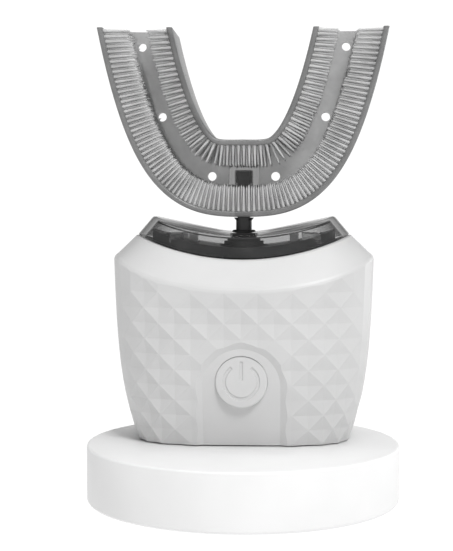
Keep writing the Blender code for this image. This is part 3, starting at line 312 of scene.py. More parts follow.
class Paint:
    """A material's nodes, with short calls for what the materials below share."""

    def __init__(self, name, colour, roughness, metallic=0.0, **sockets):
        self.material = bpy.data.materials.new(name)
        self.material.use_nodes = True
        self.tree = self.material.node_tree
        self.shader = self.tree.nodes["Principled BSDF"]
        self.set("Base Color", (*colour, 1.0))
        self.set("Roughness", roughness)
        self.set("Metallic", metallic)
        for socket, value in sockets.items():
            self.set(socket.replace("_", " "), value)

    def set(self, socket, value):
        self.shader.inputs[socket].default_value = value

    def node(self, kind, **inputs):
        made = self.tree.nodes.new(kind)
        for socket, value in inputs.items():
            made.inputs[socket.replace("_", " ")].default_value = value
        return made

    def link(self, source, output, target, socket):
        self.tree.links.new(source.outputs[output], target.inputs[socket])

    def noise(self, scale, detail=4.0, stretch=None):
        """Noise in the object's own space; stretch squeezes it along an axis."""
        place = self.node("ShaderNodeTexCoord")
        made = self.node("ShaderNodeTexNoise", Scale=scale, Detail=detail)
        if stretch is None:
            self.link(place, "Object", made, "Vector")
            return made
        mapping = self.node("ShaderNodeMapping", Scale=stretch)
        self.link(place, "Object", mapping, "Vector")
        self.link(mapping, "Vector", made, "Vector")
        return made

    def colour_between(self, source, output, low, high, start=0.35, end=0.65):
        ramp = self.node("ShaderNodeValToRGB")
        ramp.color_ramp.elements[0].position = start
        ramp.color_ramp.elements[1].position = end
        ramp.color_ramp.elements[0].color = (*low, 1.0)
        ramp.color_ramp.elements[1].color = (*high, 1.0)
        self.link(source, output, ramp, "Fac")
        self.link(ramp, "Color", self.shader, "Base Color")

    def value_between(self, source, output, socket, low, high):
        scale = self.node("ShaderNodeMapRange", To_Min=low, To_Max=high)
        self.link(source, output, scale, "Value")
        self.link(scale, "Result", self.shader, socket)

    def bump(self, source, output, strength, distance):
        made = self.node("ShaderNodeBump", Strength=strength, Distance=distance)
        self.link(source, output, made, "Height")
        self.link(made, "Normal", self.shader, "Normal")


def moulded(name, low, high, roughness, grain=2600.0, depth=0.00002, **sockets):
    """Moulded plastic: a slow colour drift, fine spark-eroded grain, uneven gloss."""
    paint = Paint(name, high, roughness, **sockets)
    drift = paint.noise(scale=60.0, detail=3.0)
    paint.colour_between(drift, "Fac", low, high)
    fine = paint.noise(grain, detail=2.0)
    paint.value_between(fine, "Fac", "Roughness", roughness - 0.06, roughness + 0.06)
    paint.bump(fine, "Fac", strength=0.35, distance=depth)
    return paint.material


def metal(name, low, high, roughness, stretch=(1.0, 1.0, 30.0)):
    """Drawn or turned metal with fine lines along one direction."""
    paint = Paint(name, high, roughness, metallic=1.0)
    lines = paint.noise(scale=900.0, detail=3.0, stretch=stretch)
    paint.colour_between(lines, "Fac", low, high)
    paint.value_between(lines, "Fac", "Roughness", roughness - 0.08, roughness + 0.12)
    paint.bump(lines, "Fac", strength=0.3, distance=0.00001)
    return paint.material


def winding(name):
    """Enamelled copper wire, seen as round turns, with painted shade darkening the creases between
    them.
    """
    paint = Paint(name, (0.70, 0.30, 0.12), roughness=0.3, metallic=1.0)
    place = paint.node("ShaderNodeTexCoord")
    rings = paint.node("ShaderNodeTexWave", Scale=1400.0, Distortion=0.4)
    rings.wave_type = "RINGS"
    rings.rings_direction = "Z"
    paint.link(place, "Object", rings, "Vector")
    # the darker colour is painted shade in the creases between the turns
    low, high = (0.42, 0.15, 0.05), (0.80, 0.38, 0.18)
    paint.colour_between(rings, "Fac", low, high, start=0.1, end=0.7)
    paint.bump(rings, "Fac", strength=0.6, distance=0.00004)
    return paint.material


def board(name):
    """Solder mask with darker tracks under it."""
    paint = Paint(name, (0.01, 0.16, 0.06), roughness=0.35)
    place = paint.node("ShaderNodeTexCoord")
    tracks = paint.node("ShaderNodeTexBrick", Scale=260.0, Mortar_Size=0.03)
    paint.link(place, "Object", tracks, "Vector")
    low, high = (0.008, 0.12, 0.045), (0.03, 0.26, 0.10)
    paint.colour_between(tracks, "Fac", low, high, start=0.2, end=0.8)
    paint.bump(tracks, "Fac", strength=0.2, distance=0.00002)
    return paint.material


def soft(name, low, high, roughness, alpha, grain=1500.0, slant=None):
    """Silicone or clear plastic: see-through; slant is the alpha where it is seen edge-on."""
    paint = Paint(name, high, roughness)
    paint.set("Alpha", alpha)
    if slant:
        facing = paint.node("ShaderNodeLayerWeight", Blend=0.5)
        paint.value_between(facing, "Facing", "Alpha", alpha, slant)
    drift = paint.noise(scale=220.0)
    paint.colour_between(drift, "Fac", low, high)
    fine = paint.noise(grain, detail=3.0)
    glossiest = max(0.02, roughness - 0.08)
    paint.value_between(fine, "Fac", "Roughness", glossiest, roughness + 0.08)
    paint.bump(fine, "Fac", strength=0.25, distance=0.00002)
    return paint.material


def pale_floor():
    """Glows as white as the photo's background and takes hardly any shadow."""
    paint = Paint("floor", grey(0.06), roughness=0.9, Specular_IOR_Level=0.0)
    paint.set("Emission Color", (1.0, 1.0, 1.0, 1.0))
    paint.set("Emission Strength", 1.04)
    return paint.material


def make_materials():
    """All looks by their short names; two colours are the ends of a slow drift."""
    white = {"Specular_IOR_Level": 0.45}
    body = (grey(0.555), grey(0.585))
    metal_greys = ((0.50, 0.50, 0.51), (0.68, 0.68, 0.69))
    blue = ((0.03, 0.15, 0.38), (0.05, 0.2, 0.45))
    plastic_greys = ((0.20, 0.21, 0.22), (0.26, 0.27, 0.28))
    blacks = ((0.018, 0.018, 0.019), (0.03, 0.03, 0.031))
    ferrite_greys = ((0.03, 0.03, 0.033), (0.06, 0.06, 0.065))
    clear = ((0.72, 0.72, 0.73), (0.85, 0.85, 0.86))
    return {
        "dock_white": moulded("dock_white", grey(0.80), grey(0.83), 0.45, **white),
        "body_white": moulded("body_white", *body, 0.42, **white),
        "button_white": moulded("button_white", *body, 0.42, **white),
        "grey_plastic": moulded("grey_plastic", *plastic_greys, 0.5),
        "black_plastic": moulded("black_plastic", *blacks, 0.35),
        "rubber": moulded("rubber", grey(0.03), grey(0.05), 0.75, grain=1800.0, depth=0.00004),
        "ferrite": moulded("ferrite", *ferrite_greys, 0.6, grain=2200.0, depth=0.00005),
        "cell_sleeve": moulded("cell_sleeve", *blue, 0.3, grain=1500.0),
        "steel": metal("steel", *metal_greys, 0.28),
        "copper": winding("copper_winding_look"),
        "board": board("circuit_board_look"),
        "collar": soft(
            "smoky_collar", grey(0.05), grey(0.09), 0.06, alpha=0.12, grain=300.0, slant=0.85
        ),
        "latch": soft("clear_latch", *clear, 0.1, alpha=0.75),
        # the walls are the web's silicone painted darker as shade, for how dim a wall looks seen
        # edge-on through its depth
        "tray_wall_painted_shade": soft("tray_wall_painted_shade", grey(0.12), grey(0.17), 0.3, alpha=0.75),
        "tray_web": soft("tray_web", grey(0.36), grey(0.46), 0.35, alpha=0.66),
        "sleeve": soft("stem_sleeve_look", grey(0.06), grey(0.10), 0.3, alpha=0.5),
        "bristle": soft("bristle", grey(0.50), grey(0.66), 0.3, alpha=0.6),
        "floor": pale_floor(),
    }


def paint_cad_nodes():
    """Gives every CAD node its finished material, those that are replaced below as well."""
    looks = {
        "dock_floor": "grey_plastic", "dock_board": "board", "dock_inlet": "steel",
        "dock_coil": "copper", "dock_ferrite": "ferrite", "coil_cradle": "grey_plastic",
        "base_cap": "body_white", "base_seal": "rubber", "receiver_coil": "copper",
        "receiver_ferrite": "ferrite", "chassis": "grey_plastic", "battery_cell": "cell_sleeve",
        "main_board": "board", "board_screw_left": "steel", "board_screw_right": "steel",
        "tact_switch": "black_plastic", "switch_plunger": "black_plastic", "button_seal": "rubber",
        "motor_can": "steel", "motor_bracket": "grey_plastic", "motor_shaft": "steel",
        "crank": "steel", "top_deck": "grey_plastic", "collar": "collar",
        "head_base": "black_plastic", "head_latch_left": "latch", "head_latch_right": "latch",
        "stem_boot": "rubber", "pivot_pin": "steel", "stem_frame": "black_plastic",
        "mouthpiece_tray": "tray_wall_painted_shade", "dock_shell": "dock_white", "body_shell": "body_white",
        "button_cap": "button_white",
    }
    for number in range(1, 5):
        looks[f"dock_foot_{number}"] = "rubber"
        looks[f"dock_screw_{number}"] = "steel"
    for name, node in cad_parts.items():
        look = LOOKS[looks[name]]
        node.data.materials.clear()
        node.data.materials.append(look)
        for polygon in node.data.polygons:
            polygon.material_index = 0
        node.data.shade_smooth()
        node.data.set_sharp_from_angle(angle=math.radians(SHARP_ANGLE))


# ---- Handle ------------------------------------------------------------------------------


def shoulder_rise(x):
    """How much higher the shoulder lies at x than in the middle."""
    return SHOULDER_BEND * x ** 2 + SHOULDER_LIFT * x ** 4


def body_half(z):
    """Half sizes of the side at a height: a straight taper and a tuck at the bottom."""
    span = SHOULDER + shoulder_rise(SHOULDER_HALF[0]) - BODY_BOTTOM
    down = min(1.0, max(0.0, 1.0 - (z - BODY_BOTTOM) / span))
    tuck = down ** TUCK_POWER
    x = SHOULDER_HALF[0] - BODY_TAPER[0] * down - BODY_TUCK[0] * tuck
    y = SHOULDER_HALF[1] - BODY_TAPER[1] * down - BODY_TUCK[1] * tuck
    return (x, y)


def front_surface(x, z):
    """Y of the smooth front."""
    half = body_half(z)
    share = min(1.0, abs(x) / half[0])
    return HANDLE_Y - half[1] * (1.0 - share ** BODY_POWER) ** (1.0 / BODY_POWER)


def side_ring(share, inset, low, high, count):
    """A ring of the handle's side; low and high are its end heights on the centre line."""
    points = []
    for step in range(count):
        angle = 2.0 * math.pi * step / count
        c, s = math.cos(angle), math.sin(angle)
        x, z = 0.0, low
        for _ in range(4):
            z = low + share * (high - low + shoulder_rise(x))
            half = smaller(body_half(z), inset)
            x = half[0] * math.copysign(abs(c) ** (2.0 / BODY_POWER), c)
        y = half[1] * math.copysign(abs(s) ** (2.0 / BODY_POWER), s)
        points.append((x, y + HANDLE_Y, z))
    return points


def smooth_hull(grow, count=160):
    """The handle's outer form without facets: side, chamfer and top edge."""
    levels = 24
    low = SHOULDER - SHOULDER_ROUND
    rings = [side_ring(i / levels, -grow, BODY_BOTTOM, low, count) for i in range(levels + 1)]
    slope = CHAMFER_RUN / (CROWN - SHOULDER)
    for share in (-0.5, 0.0, 0.5, 1.0):
        # between the side and the chamfer, a curve that touches both
        up = share * SHOULDER_ROUND
        down = max(0.0, SHOULDER_ROUND - up)
        inset = slope * (up + down * down / (4.0 * SHOULDER_ROUND))
        rings.append(side_ring(1.0, inset - grow, BODY_BOTTOM, SHOULDER + up, count))
    rim = smaller(SHOULDER_HALF, CHAMFER_RUN)
    # the rounded rim, from the chamfer up to the crown
    for inset, down in ((-slope * RIM_ROUND, RIM_ROUND), (0.12, 0.1), (RIM_ROUND, 0.0)):
        rings.append(ring(smaller(rim, inset), CROWN - down, bend=CROWN_BEND, count=count))
    return loft(rings)


def facet_columns():
    """The (x, side) of each column at the shoulder, half a facet apart round the handle."""
    samples = 1440
    points = [Vector(p) for p in superellipse(SHOULDER_HALF, BODY_POWER, samples)]
    start = samples * 3 // 4  # the middle of the front
    points = points[start:] + points[:start + 1]
    lengths = [0.0]
    for a, b in zip(points, points[1:]):
        lengths.append(lengths[-1] + (b - a).length)
    count = 4 * round(lengths[-1] / FACET_WIDTH / 2.0)
    columns = []
    at = 0
    for column in range(count):
        while lengths[at + 1] < lengths[-1] * column / count:
            at += 1
        place = points[at] if column else points[0]
        columns.append((place.x, math.copysign(1.0, place.y)))
    return columns


def facet_point(column, z):
    """Where a column crosses a height: upright near the middle, squeezed at the sides."""
    x, side = column
    half = body_half(z)
    if abs(x) > FACET_UPRIGHT:
        share = (abs(x) - FACET_UPRIGHT) / (SHOULDER_HALF[0] - FACET_UPRIGHT)
        x = math.copysign(FACET_UPRIGHT + share * (half[0] - FACET_UPRIGHT), x)
    reach = min(1.0, abs(x) / half[0])
    return Vector((x, side * half[1] * (1.0 - reach ** BODY_POWER) ** (1.0 / BODY_POWER)))


def facet_depth(x, z, side):
    """Full depth on the front and back; none at the rounded sides, the shoulder and the panel."""
    shares = [
        (FACET_REACH + FACET_FADE - abs(x)) / FACET_FADE,
        (SHOULDER + shoulder_rise(x) - SHOULDER_ROUND - z) / TOP_FADE,
    ]
    if side < 0.0:
        over = max(0.0, z - PANEL_TOP + PANEL_HALF_WIDTH[0])
        shares.append((math.hypot(x, over) - PANEL_HALF_WIDTH[0]) / PANEL_FADE)
    return FACET_DEPTH * min(1.0, max(0.0, min(shares)))


def faceted_hull():
    """The side as a lattice of flat triangles: every second point is pushed in."""
    columns = facet_columns()
    count = len(columns)
    first_row = -2
    last_row = int((COLLAR_CROWN - FACET_ROW_START) / FACET_HEIGHT) + 2
    bm = bmesh.new()
    rows = []
    for row in range(first_row, last_row + 1):
        z = FACET_ROW_START + row * FACET_HEIGHT
        line = []
        for number, column in enumerate(columns):
            at = facet_point(column, z)
            depth = facet_depth(at.x, z, column[1]) * ((row + number) % 2)
            inward = Vector((at.x / SHOULDER_HALF[0] ** 2, at.y / SHOULDER_HALF[1] ** 2))
            place = at - inward.normalized() * depth
            line.append(bm.verts.new((place.x, place.y + HANDLE_Y, z)))
        rows.append(line)
    for row, (low, high) in enumerate(zip(rows, rows[1:]), first_row):
        for number in range(count):
            after = (number + 1) % count
            a, b, c, d = low[number], low[after], high[after], high[number]
            if (row + number) % 2:
                bm.faces.new((a, b, d))
                bm.faces.new((b, c, d))
            else:
                bm.faces.new((a, b, c))
                bm.faces.new((a, c, d))
    bm.faces.new(rows[0])
    bm.faces.new(rows[-1])
    return bm


def handle_inside(count=120):
    """The hollow: side walls, a slanted roof under the chamfer and the oval opening."""
    levels = 16
    low, high = BODY_BOTTOM - OVERCUT, SHOULDER - ROOF_START
    rings = [side_ring(i / levels, BODY_WALL, low, high, count) for i in range(levels + 1)]
    mouth = smaller(smaller(SHOULDER_HALF, CHAMFER_RUN), RIM_WIDTH)
    for z in (CROWN - ROOF_END, CROWN + 3 * OVERCUT):
        rings.append(ring(mouth, z, bend=CROWN_BEND, count=count))
    return loft(rings)


def panel_cutter():
    """The arch-shaped recess with its sloped border; its back follows the body."""
    columns, rows = 32, 24
    slope = (PANEL_HALF_WIDTH[0] - PANEL_HALF_WIDTH[1]) / PANEL_DEPTH
    springing = PANEL_TOP - PANEL_HALF_WIDTH[0]
    low = BODY_BOTTOM - 2 * OVERCUT
    nets = []
    for offset in (-OVERCUT, PANEL_DEPTH):
        half = PANEL_HALF_WIDTH[0] - slope * offset
        net = []
        for row in range(rows + 1):
            line = []
            for column in range(columns + 1):
                angle = math.pi * (column / columns - 0.5)
                x = half * math.sin(angle)
                ceiling = springing + half * math.cos(angle)
                z = low + (ceiling - low) * row / rows
                line.append((x, front_surface(x, z) + offset, z))
            net.append(line)
        nets.append(net)
    bm = bmesh.new()
    made = [[[bm.verts.new(p) for p in line] for line in net] for net in nets]
    for net in made:
        skin_net(bm, net)
    for outer, inner in zip(net_border(made[0]), net_border(made[1])):
        bm.faces.new((outer[0], outer[1], inner[1], inner[0]))
    return bm


def handle_shell():
    """The lattice trimmed to the smooth form, with its panel, hollow and button hole."""
    shell = new_piece(
        "faceted_handle_shell", faceted_hull(), "handle", LOOKS["body_white"], ("body_shell",),
    )
    apply_boolean(shell, smooth_hull(HULL_MARGIN), "INTERSECT")
    apply_boolean(shell, panel_cutter(), "DIFFERENCE")
    apply_boolean(shell, handle_inside(), "DIFFERENCE")
    radius = BUTTON_RADIUS + BUTTON_GAP
    hole = [(radius, y) for y in BUTTON_CUT]
    apply_boolean(shell, turned(hole, "Y", (0.0, BUTTON_Z), count=96), "DIFFERENCE")
    shell.data.set_sharp_from_angle(angle=math.radians(FACET_ANGLE))


def power_button():
    """The button: a domed disc with the generic power symbol sunk in its face."""
    node_low, node_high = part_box("button_cap")
    face = node_low.y / MM
    back = node_high.y / MM
    flange_radius = BUTTON_RADIUS + FLANGE_WIDTH
    flange = front_surface(flange_radius, BUTTON_Z) + BODY_WALL + FLANGE_GAP
    profile = [(0.6, face), (BUTTON_RADIUS * 0.5, face + BUTTON_RISE * 0.25)]
    for step in range(7):
        angle = math.pi / 2 * step / 6
        radius = BUTTON_RADIUS - BUTTON_EDGE + BUTTON_EDGE * math.sin(angle)
        profile.append((radius, face + BUTTON_RISE + BUTTON_EDGE * (1 - math.cos(angle))))
    flange_back = flange + FLANGE_THICKNESS
    profile += [
        (BUTTON_RADIUS, flange), (flange_radius, flange), (flange_radius, flange_back),
        (PUSHER_RADIUS, flange_back), (PUSHER_RADIUS, back),
    ]
    piece = new_piece(
        "power_button", turned(profile, "Y", (0.0, BUTTON_Z), count=128), "button",
        LOOKS["button_white"], ("button_cap",),
    )
    apply_boolean(piece, symbol_groove(face - 0.5, face + SYMBOL_DEPTH), "DIFFERENCE")


def symbol_groove(front, back):
    """An open ring and an upright bar with sloped sides, drawn out along Y."""
    bm = bmesh.new()
    nets = []
    strokes = (SYMBOL_STROKE + SYMBOL_SLOPE, SYMBOL_STROKE - SYMBOL_SLOPE / 2)
    for y, stroke in zip((front, back), strokes):
        turn = math.degrees(stroke / SYMBOL_RADIUS)
        first, last = 90.0 + SYMBOL_OPENING - turn, 450.0 - SYMBOL_OPENING + turn
        outer = arc(first, last, SYMBOL_RADIUS + stroke, 48, (0.0, BUTTON_Z))
        inner = arc(last, first, SYMBOL_RADIUS - stroke, 48, (0.0, BUTTON_Z))
        top = BUTTON_Z + SYMBOL_RADIUS + BAR_PAST_RING + stroke
        low = BUTTON_Z + BAR_START - stroke
        bar = [(-stroke, low), (stroke, low), (stroke, top), (-stroke, top)]
        outlines = (outer + inner, bar)
        nets.append([[bm.verts.new((x, y, z)) for x, z in outline] for outline in outlines])
    for near, far in zip(*nets):
        drawn_out(bm, near, far)
    return bm


# ---- Head --------------------------------------------------------------------------------


def collar_half(z, inset=0.0):
    """Half sizes of the collar's slanted outside at a height on the centre line."""
    share = (z - CROWN) / (COLLAR_CROWN - CROWN)
    x = SHOULDER_HALF[0] - CHAMFER_RUN - share * COLLAR_RUN - inset
    y = SHOULDER_HALF[1] - CHAMFER_RUN - share * COLLAR_RUN - inset
    return (x, y)


def collar():
    """The see-through cover with rounded top edges, and the dark seam under its top."""
    under = COLLAR_CROWN - COLLAR_TOP
    rings = [ring(collar_half(HEAD_BOTTOM), HEAD_BOTTOM, bend=CROWN_BEND)]
    for step in range(5):
        angle = math.pi / 2 * step / 4
        z = COLLAR_CROWN - COLLAR_EDGE + COLLAR_EDGE * math.sin(angle)
        inset = COLLAR_EDGE * (1 - math.cos(angle))
        rings.append(ring(collar_half(z, inset), z, bend=CROWN_BEND))
    rings.append(ring(COLLAR_HOLE, COLLAR_CROWN, BOOT_POWER, CROWN_BEND))
    rings.append(ring(COLLAR_HOLE, under, BOOT_POWER, CROWN_BEND))
    for z in (under, HEAD_BOTTOM):
        rings.append(ring(collar_half(z, COLLAR_WALL), z, bend=CROWN_BEND))
    new_piece(
        "clear_collar", loft(rings, closed=True), "head", LOOKS["collar"], ("collar",),
    )
    near, far = SEAM_GAP[0], SEAM_GAP[0] + SEAM_WIDTH
    high = under - SEAM_GAP[1]
    low = high - SEAM_HEIGHT
    seam = [
        ring(collar_half(z, COLLAR_WALL + inset), z, bend=CROWN_BEND)
        for z, inset in ((low, near), (high, near), (high, far), (low, far))
    ]
    new_piece(
        "collar_seam", loft(seam, closed=True), "head", LOOKS["black_plastic"],
    )


def stem_boot():
    """The soft stepped boot, with a curved neck up to where the stem comes out."""
    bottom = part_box("stem_boot")[0].z / MM
    low = bottom
    rings = []
    for radius, top in BOOT_STEPS:
        for half, z in ((radius, low), (radius, top - BOOT_EDGE), (radius - BOOT_EDGE, top)):
            shape = (half, half - radius * BOOT_SQUASH)
            rings.append(ring(shape, z, BOOT_POWER, CROWN_BEND, 96))
        low = top
    for half, z in BOOT_NECK:
        rings.append(ring((half, half - NECK_SQUASH), z, BOOT_POWER, count=96))
    rings.append(ring(BOOT_BORE, BORE_TOP, BOOT_POWER, count=96))
    rings.append(ring(BOOT_BORE, bottom, BOOT_POWER, CROWN_BEND, 96))
    new_piece(
        "stem_boot_soft", loft(rings, closed=True), "head", LOOKS["rubber"], ("stem_boot",),
    )


# ---- Mouthpiece --------------------------------------------------------------------------


def arch_point(share):
    """The tray's centre line, from -1 at the left end to 1 at the right end."""
    along = share * ARCH_END
    x = ARCH_HALF_SPAN * along
    z = TRAY_BOTTOM + TRAY_HALF_WIDTH[0] + ARCH_RISE * abs(along) ** ARCH_POWER
    return x, z


def arch_section(share):
    """Centre, outward direction and half width of the tray at a place on the arch."""
    x, z = arch_point(share)
    along = abs(share) * ARCH_END
    slope = ARCH_RISE * ARCH_POWER / ARCH_HALF_SPAN * along ** (ARCH_POWER - 1.0)
    normal = math.atan(slope) - math.pi / 2
    late = max(0.0, (abs(share) - END_TILT_START) / (1.0 - END_TILT_START))
    tilt = END_TILT * late * late
    half = TRAY_HALF_WIDTH[0] + (TRAY_HALF_WIDTH[1] - TRAY_HALF_WIDTH[0]) * abs(share)
    side = math.copysign(1.0, share)
    return (x, z), (side * math.cos(normal + tilt), math.sin(normal + tilt)), half / math.cos(tilt)


def tray_place(share, across, y):
    """A point of the tray: across is in half widths, +1 on the outside; y from its middle."""
    (x, z), (dx, dz), half = arch_section(share)
    return Vector((x + dx * half * across, HANDLE_Y + y, z + dz * half * across))


def even_shares(pitch, across):
    """Places along the arch that lie a pitch apart at this distance across the tray."""
    samples = 800
    shares = [2.0 * i / samples - 1.0 for i in range(samples + 1)]
    points = [tray_place(s, across, 0.0) for s in shares]
    lengths = [0.0]
    for a, b in zip(points, points[1:]):
        lengths.append(lengths[-1] + (b - a).length)
    count = int(lengths[-1] / pitch)
    places = []
    at = 0
    for step in range(count):
        target = lengths[-1] * (step + 0.5) / count
        while lengths[at + 1] < target:
            at += 1
        part = (target - lengths[at]) / (lengths[at + 1] - lengths[at])
        places.append(shares[at] + (shares[at + 1] - shares[at]) * part)
    return places


def swept(outline_of, steps=120):
    """Sweeps an (across in mm from the centre line, y) outline along the arch."""
    bm = bmesh.new()
    loops = []
    for step in range(steps + 1):
        share = 2.0 * step / steps - 1.0
        (x, z), (dx, dz), half = arch_section(share)
        outline = outline_of(half)
        loops.append([bm.verts.new((x + dx * s, HANDLE_Y + y, z + dz * s)) for s, y in outline])
    for low, high in zip(loops, loops[1:]):
        bridge(bm, low, high)
    bm.faces.new(loops[0])
    bm.faces.new(loops[-1])
    return bm


def wall_outline(side):
    """One wall's section: thin, with rounded lips at the front and the back."""
    def outline(half):
        radius = TRAY_WALL / 2
        middle = side * (half - radius)
        front = arc(180.0, 360.0, radius, 6, (middle, -TRAY_HALF_DEPTH + radius))
        back = arc(0.0, 180.0, radius, 6, (middle, TRAY_HALF_DEPTH - radius))
        return front + back
    return outline


def web_outline(half):
    """The web's section: flat, and thicker where it meets the walls."""
    wall = half - TRAY_WALL + WEB_IN_WALL
    web = TRAY_WEB / 2
    bulge = WEB_FILLET * 0.35
    right = [
        (wall, -web - WEB_FILLET), (wall, web + WEB_FILLET), (wall - bulge, web + bulge),
        (wall - WEB_FILLET, web),
    ]
    left = [(-x, -y) for x, y in right]
    return right + left


def tray_shell():
    """Two walls and the web with its six holes, cut out round the stem, and the stem's sleeve."""
    # both walls wear the tray's silicone painted darker as shade
    outer = new_piece(
        "tray_outer_wall", swept(wall_outline(1)), "mouthpiece", LOOKS["tray_wall_painted_shade"],
        ("mouthpiece_tray",),
    )
    apply_boolean(outer, sleeve_form(-OVERCUT, 0.0), "DIFFERENCE")
    new_piece(
        "tray_inner_wall", swept(wall_outline(-1)), "mouthpiece", LOOKS["tray_wall_painted_shade"],
    )
    web = new_piece(
        "tray_web", swept(web_outline), "mouthpiece", LOOKS["tray_web"]
    )
    holes = bmesh.new()
    hole = [(HOLE_RADIUS, HANDLE_Y - HOLE_CUT), (HOLE_RADIUS, HANDLE_Y + HOLE_CUT)]
    for place in HOLE_PLACES:
        for side in (-1, 1):
            turned(hole, "Y", arch_point(side * place / ARCH_END), count=40, bm=holes)
    apply_boolean(web, holes, "DIFFERENCE")
    apply_boolean(web, sleeve_form(0.0, SLEEVE_WALL), "DIFFERENCE")
    sleeve = new_piece(
        "stem_sleeve", sleeve_form(TRAY_WALL, SLEEVE_WALL), "mouthpiece", LOOKS["sleeve"],
    )
    apply_boolean(sleeve, sleeve_form(-OVERCUT, 0.0), "DIFFERENCE")


def sleeve_form(start, wall):
    """The stem's top with a wall round it; start is measured from the tray's underside."""
    half = smaller(STEM_HALF, -wall)
    low, top = TRAY_BOTTOM + start, TRAY_BOTTOM + STEM_IN_TRAY + wall
    return loft([
        ring(half, low, SLEEVE_POWER, count=64),
        ring(half, top - SLEEVE_EDGE, SLEEVE_POWER, count=64),
        ring(smaller(half, SLEEVE_EDGE), top, SLEEVE_POWER, count=64),
    ])


def bristle(bm, root, tip, sides=5):
    """A tapered soft bristle with a rounded tip."""
    along = (tip - root).normalized()
    across = along.cross(Vector((0.0, 1.0, 0.0)))
    if across.length < 0.1:
        across = along.cross(Vector((1.0, 0.0, 0.0)))
    across.normalize()
    up = along.cross(across)
    loops = []
    for share, size in BRISTLE_TAPER:
        centre = root.lerp(tip, share)
        loop = []
        for step in range(sides):
            angle = 2.0 * math.pi * step / sides
            outward = across * math.cos(angle) + up * math.sin(angle)
            loop.append(bm.verts.new(centre + outward * BRISTLE_RADIUS * size))
        loops.append(loop)
    end = bm.verts.new(tip)
    for low, high in zip(loops, loops[1:]):
        bridge(bm, low, high)
    for i in range(sides):
        bm.faces.new((loops[-1][i], loops[-1][(i + 1) % sides], end))
    bm.faces.new(loops[0][::-1])


def bristle_field(name, across_side, length, y_sign, seed):
    """Rows of bristles on one wall of one channel, pointing across it."""
    draw = random.Random(seed)
    bm = bmesh.new()
    shares = even_shares(BRISTLE_PITCH, across_side)
    first = TRAY_WEB / 2 + ROW_MARGIN[0]
    span = TRAY_HALF_DEPTH - TRAY_WEB / 2 - (ROW_MARGIN[0] + ROW_MARGIN[1])
    for row in range(BRISTLE_ROWS):
        y = y_sign * (first + span * row / (BRISTLE_ROWS - 1))
        offset = 0.5 * (row % 2)  # every second row stands between the bristles of the others
        for number, share in enumerate(shares):
            after = shares[min(number + 1, len(shares) - 1)]
            before = shares[max(number - 1, 0)]
            place = share + (after - before) / 2 * (offset - 0.25)
            place = max(-BRISTLE_END, min(BRISTLE_END, place))
            half = arch_section(place)[2]
            wall = (half - TRAY_WALL + BRISTLE_ROOT) / half
            reach = (half - TRAY_WALL - length * draw.uniform(*BRISTLE_SPREAD)) / half
            root = tray_place(place, across_side * wall, y)
            tip = tray_place(place, across_side * reach, y - y_sign * BRISTLE_LEAN)
            bristle(bm, root, tip)
    new_piece(name, bm, "mouthpiece", LOOKS["bristle"], angle=80.0)


def bristles():
    """Four fields: on both walls of the front and of the rear channel."""
    outer, inner = BRISTLE_LENGTH
    for number, (y_name, y_sign) in enumerate((("front", -1), ("rear", 1))):
        bristle_field(f"{y_name}_outer_bristles", 1, outer, y_sign, 11 + number)
        bristle_field(f"{y_name}_inner_bristles", -1, inner, y_sign, 21 + number)


# ---- Dock --------------------------------------------------------------------------------


def dock_cover():
    """The dock's cover with a crisp rounded top edge, the oval peg and the socket's slot."""
    inside = DOCK_RADIUS - DOCK_WALL
    profile = [(inside, DOCK_HEIGHT - DOCK_ROOF), (inside, DOCK_BOTTOM)]
    profile += arc(270.0, 360.0, DOCK_FOOT, 6, (DOCK_RADIUS - DOCK_FOOT, DOCK_BOTTOM + DOCK_FOOT))
    profile += arc(0.0, 90.0, DOCK_EDGE, 6, (DOCK_RADIUS - DOCK_EDGE, DOCK_HEIGHT - DOCK_EDGE))
    profile.append((DOCK_RADIUS - 2 * DOCK_EDGE, DOCK_HEIGHT))  # keeps the top's shading flat
    piece = new_piece(
        "dock_cover", turned(profile, count=256), "dock", LOOKS["dock_white"], ("dock_shell",),
    )
    top = DOCK_HEIGHT + PEG_HEIGHT
    peg = loft([
        ring(PEG_HALF, DOCK_HEIGHT - PEG_IN_DOCK, PEG_POWER, count=96),
        ring(PEG_HALF, top - PEG_EDGE, PEG_POWER, count=96),
        ring(smaller(PEG_HALF, PEG_EDGE), top, PEG_POWER, count=96),
    ])
    apply_boolean(piece, peg, "UNION")
    low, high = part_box("dock_inlet")
    apply_boolean(piece, inlet_slot(low / MM, high / MM), "DIFFERENCE")


def inlet_slot(low, high):
    """A slot with round ends, a little larger than the socket."""
    half_z = (high.z - low.z) / 2 + SLOT_GAP
    half_x = (high.x - low.x) / 2 + SLOT_GAP
    middle = (high.z + low.z) / 2
    straight = half_x - half_z
    outline = arc(-90.0, 90.0, half_z, 16, (straight, middle))
    outline += arc(90.0, 270.0, half_z, 16, (-straight, middle))
    bm = bmesh.new()
    near = [bm.verts.new((x, low.y - SLOT_CUT, z)) for x, z in outline]
    far = [bm.verts.new((x, high.y + SLOT_CUT, z)) for x, z in outline]
    drawn_out(bm, near, far)
    return bm


# ---- Camera, floor and light, in metres --------------------------------------------------

CAMERA_DISTANCE = 0.311
CAMERA_AZIMUTH = math.radians(2.0)
CAMERA_HEIGHT = 0.0694
CAMERA_PITCH = math.radians(3.43)
CAMERA_PAN = math.radians(0.68)
CAMERA_LENS = 91.0
SKY_HEIGHTS = (0.16, 0.34)  # where the surround starts and stops getting dimmer
SKY_LEVELS = (1.05, 0.12)
FLOOR_SIZE = 6000.0  # in millimetres, as for every mesh here
LIGHTS = (  # name, place, target, size, watts
    ("key", (0.22, -0.48, 0.63), (0.0, 0.0, 0.04), 0.24, 4.2),
    ("top", (0.0, 0.0, 0.62), (0.0, 0.0, 0.0), 0.4, 1.9),
    ("right_fill", (0.55, 0.38, 0.12), (0.0, 0.0, 0.04), 0.3, 0.9),
)


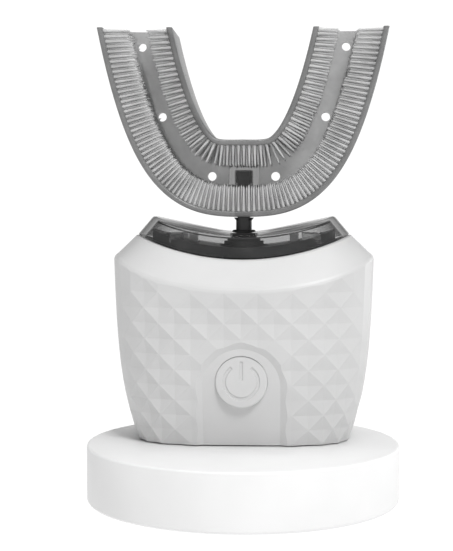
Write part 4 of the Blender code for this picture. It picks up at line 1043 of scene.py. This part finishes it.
def camera():
    """Stands where the photo was taken from."""
    data = bpy.data.cameras.new("camera")
    data.lens = CAMERA_LENS
    data.sensor_width = 36.0
    data.clip_start = 0.01
    made = bpy.data.objects.new("camera", data)
    bpy.context.scene.collection.objects.link(made)
    x = CAMERA_DISTANCE * math.sin(CAMERA_AZIMUTH)
    y = -CAMERA_DISTANCE * math.cos(CAMERA_AZIMUTH)
    made.location = (x, y, CAMERA_HEIGHT)
    made.rotation_euler = (math.pi / 2 - CAMERA_PITCH, 0.0, CAMERA_AZIMUTH + CAMERA_PAN)
    bpy.context.scene.camera = made


def area_light(name, place, target, size, power):
    """A square light turned towards its target."""
    data = bpy.data.lights.new(name, "AREA")
    data.energy = power
    data.size = size
    made = bpy.data.objects.new(name, data)
    bpy.context.scene.collection.objects.link(made)
    made.location = place
    made.rotation_euler = (Vector(target) - Vector(place)).to_track_quat("-Z", "Y").to_euler()


def studio():
    """A surround that is white at the horizon and dim above, a bright floor and the lights."""
    world = bpy.data.worlds.new("studio")
    world.use_nodes = True
    tree = world.node_tree
    background = tree.nodes["Background"]
    place = tree.nodes.new("ShaderNodeTexCoord")
    split = tree.nodes.new("ShaderNodeSeparateXYZ")
    level = tree.nodes.new("ShaderNodeMapRange")
    sockets = ("From Min", "From Max", "To Min", "To Max")
    for socket, value in zip(sockets, SKY_HEIGHTS + SKY_LEVELS):
        level.inputs[socket].default_value = value
    tree.links.new(place.outputs["Generated"], split.inputs["Vector"])
    tree.links.new(split.outputs["Z"], level.inputs["Value"])
    tree.links.new(level.outputs["Result"], background.inputs["Strength"])
    background.inputs["Color"].default_value = (1.0, 1.0, 1.0, 1.0)
    bpy.context.scene.world = world
    bpy.context.scene.view_settings.view_transform = "Standard"
    floor = bmesh.new()
    bmesh.ops.create_grid(floor, x_segments=1, y_segments=1, size=FLOOR_SIZE)
    new_piece("floor", floor, None, LOOKS["floor"])
    for light in LIGHTS:
        area_light(*light)


# ---- The model ---------------------------------------------------------------------------

LOOKS = make_materials()
paint_cad_nodes()
camera()
studio()
dock_cover()
handle_shell()
power_button()
collar()
stem_boot()
tray_shell()
bristles()
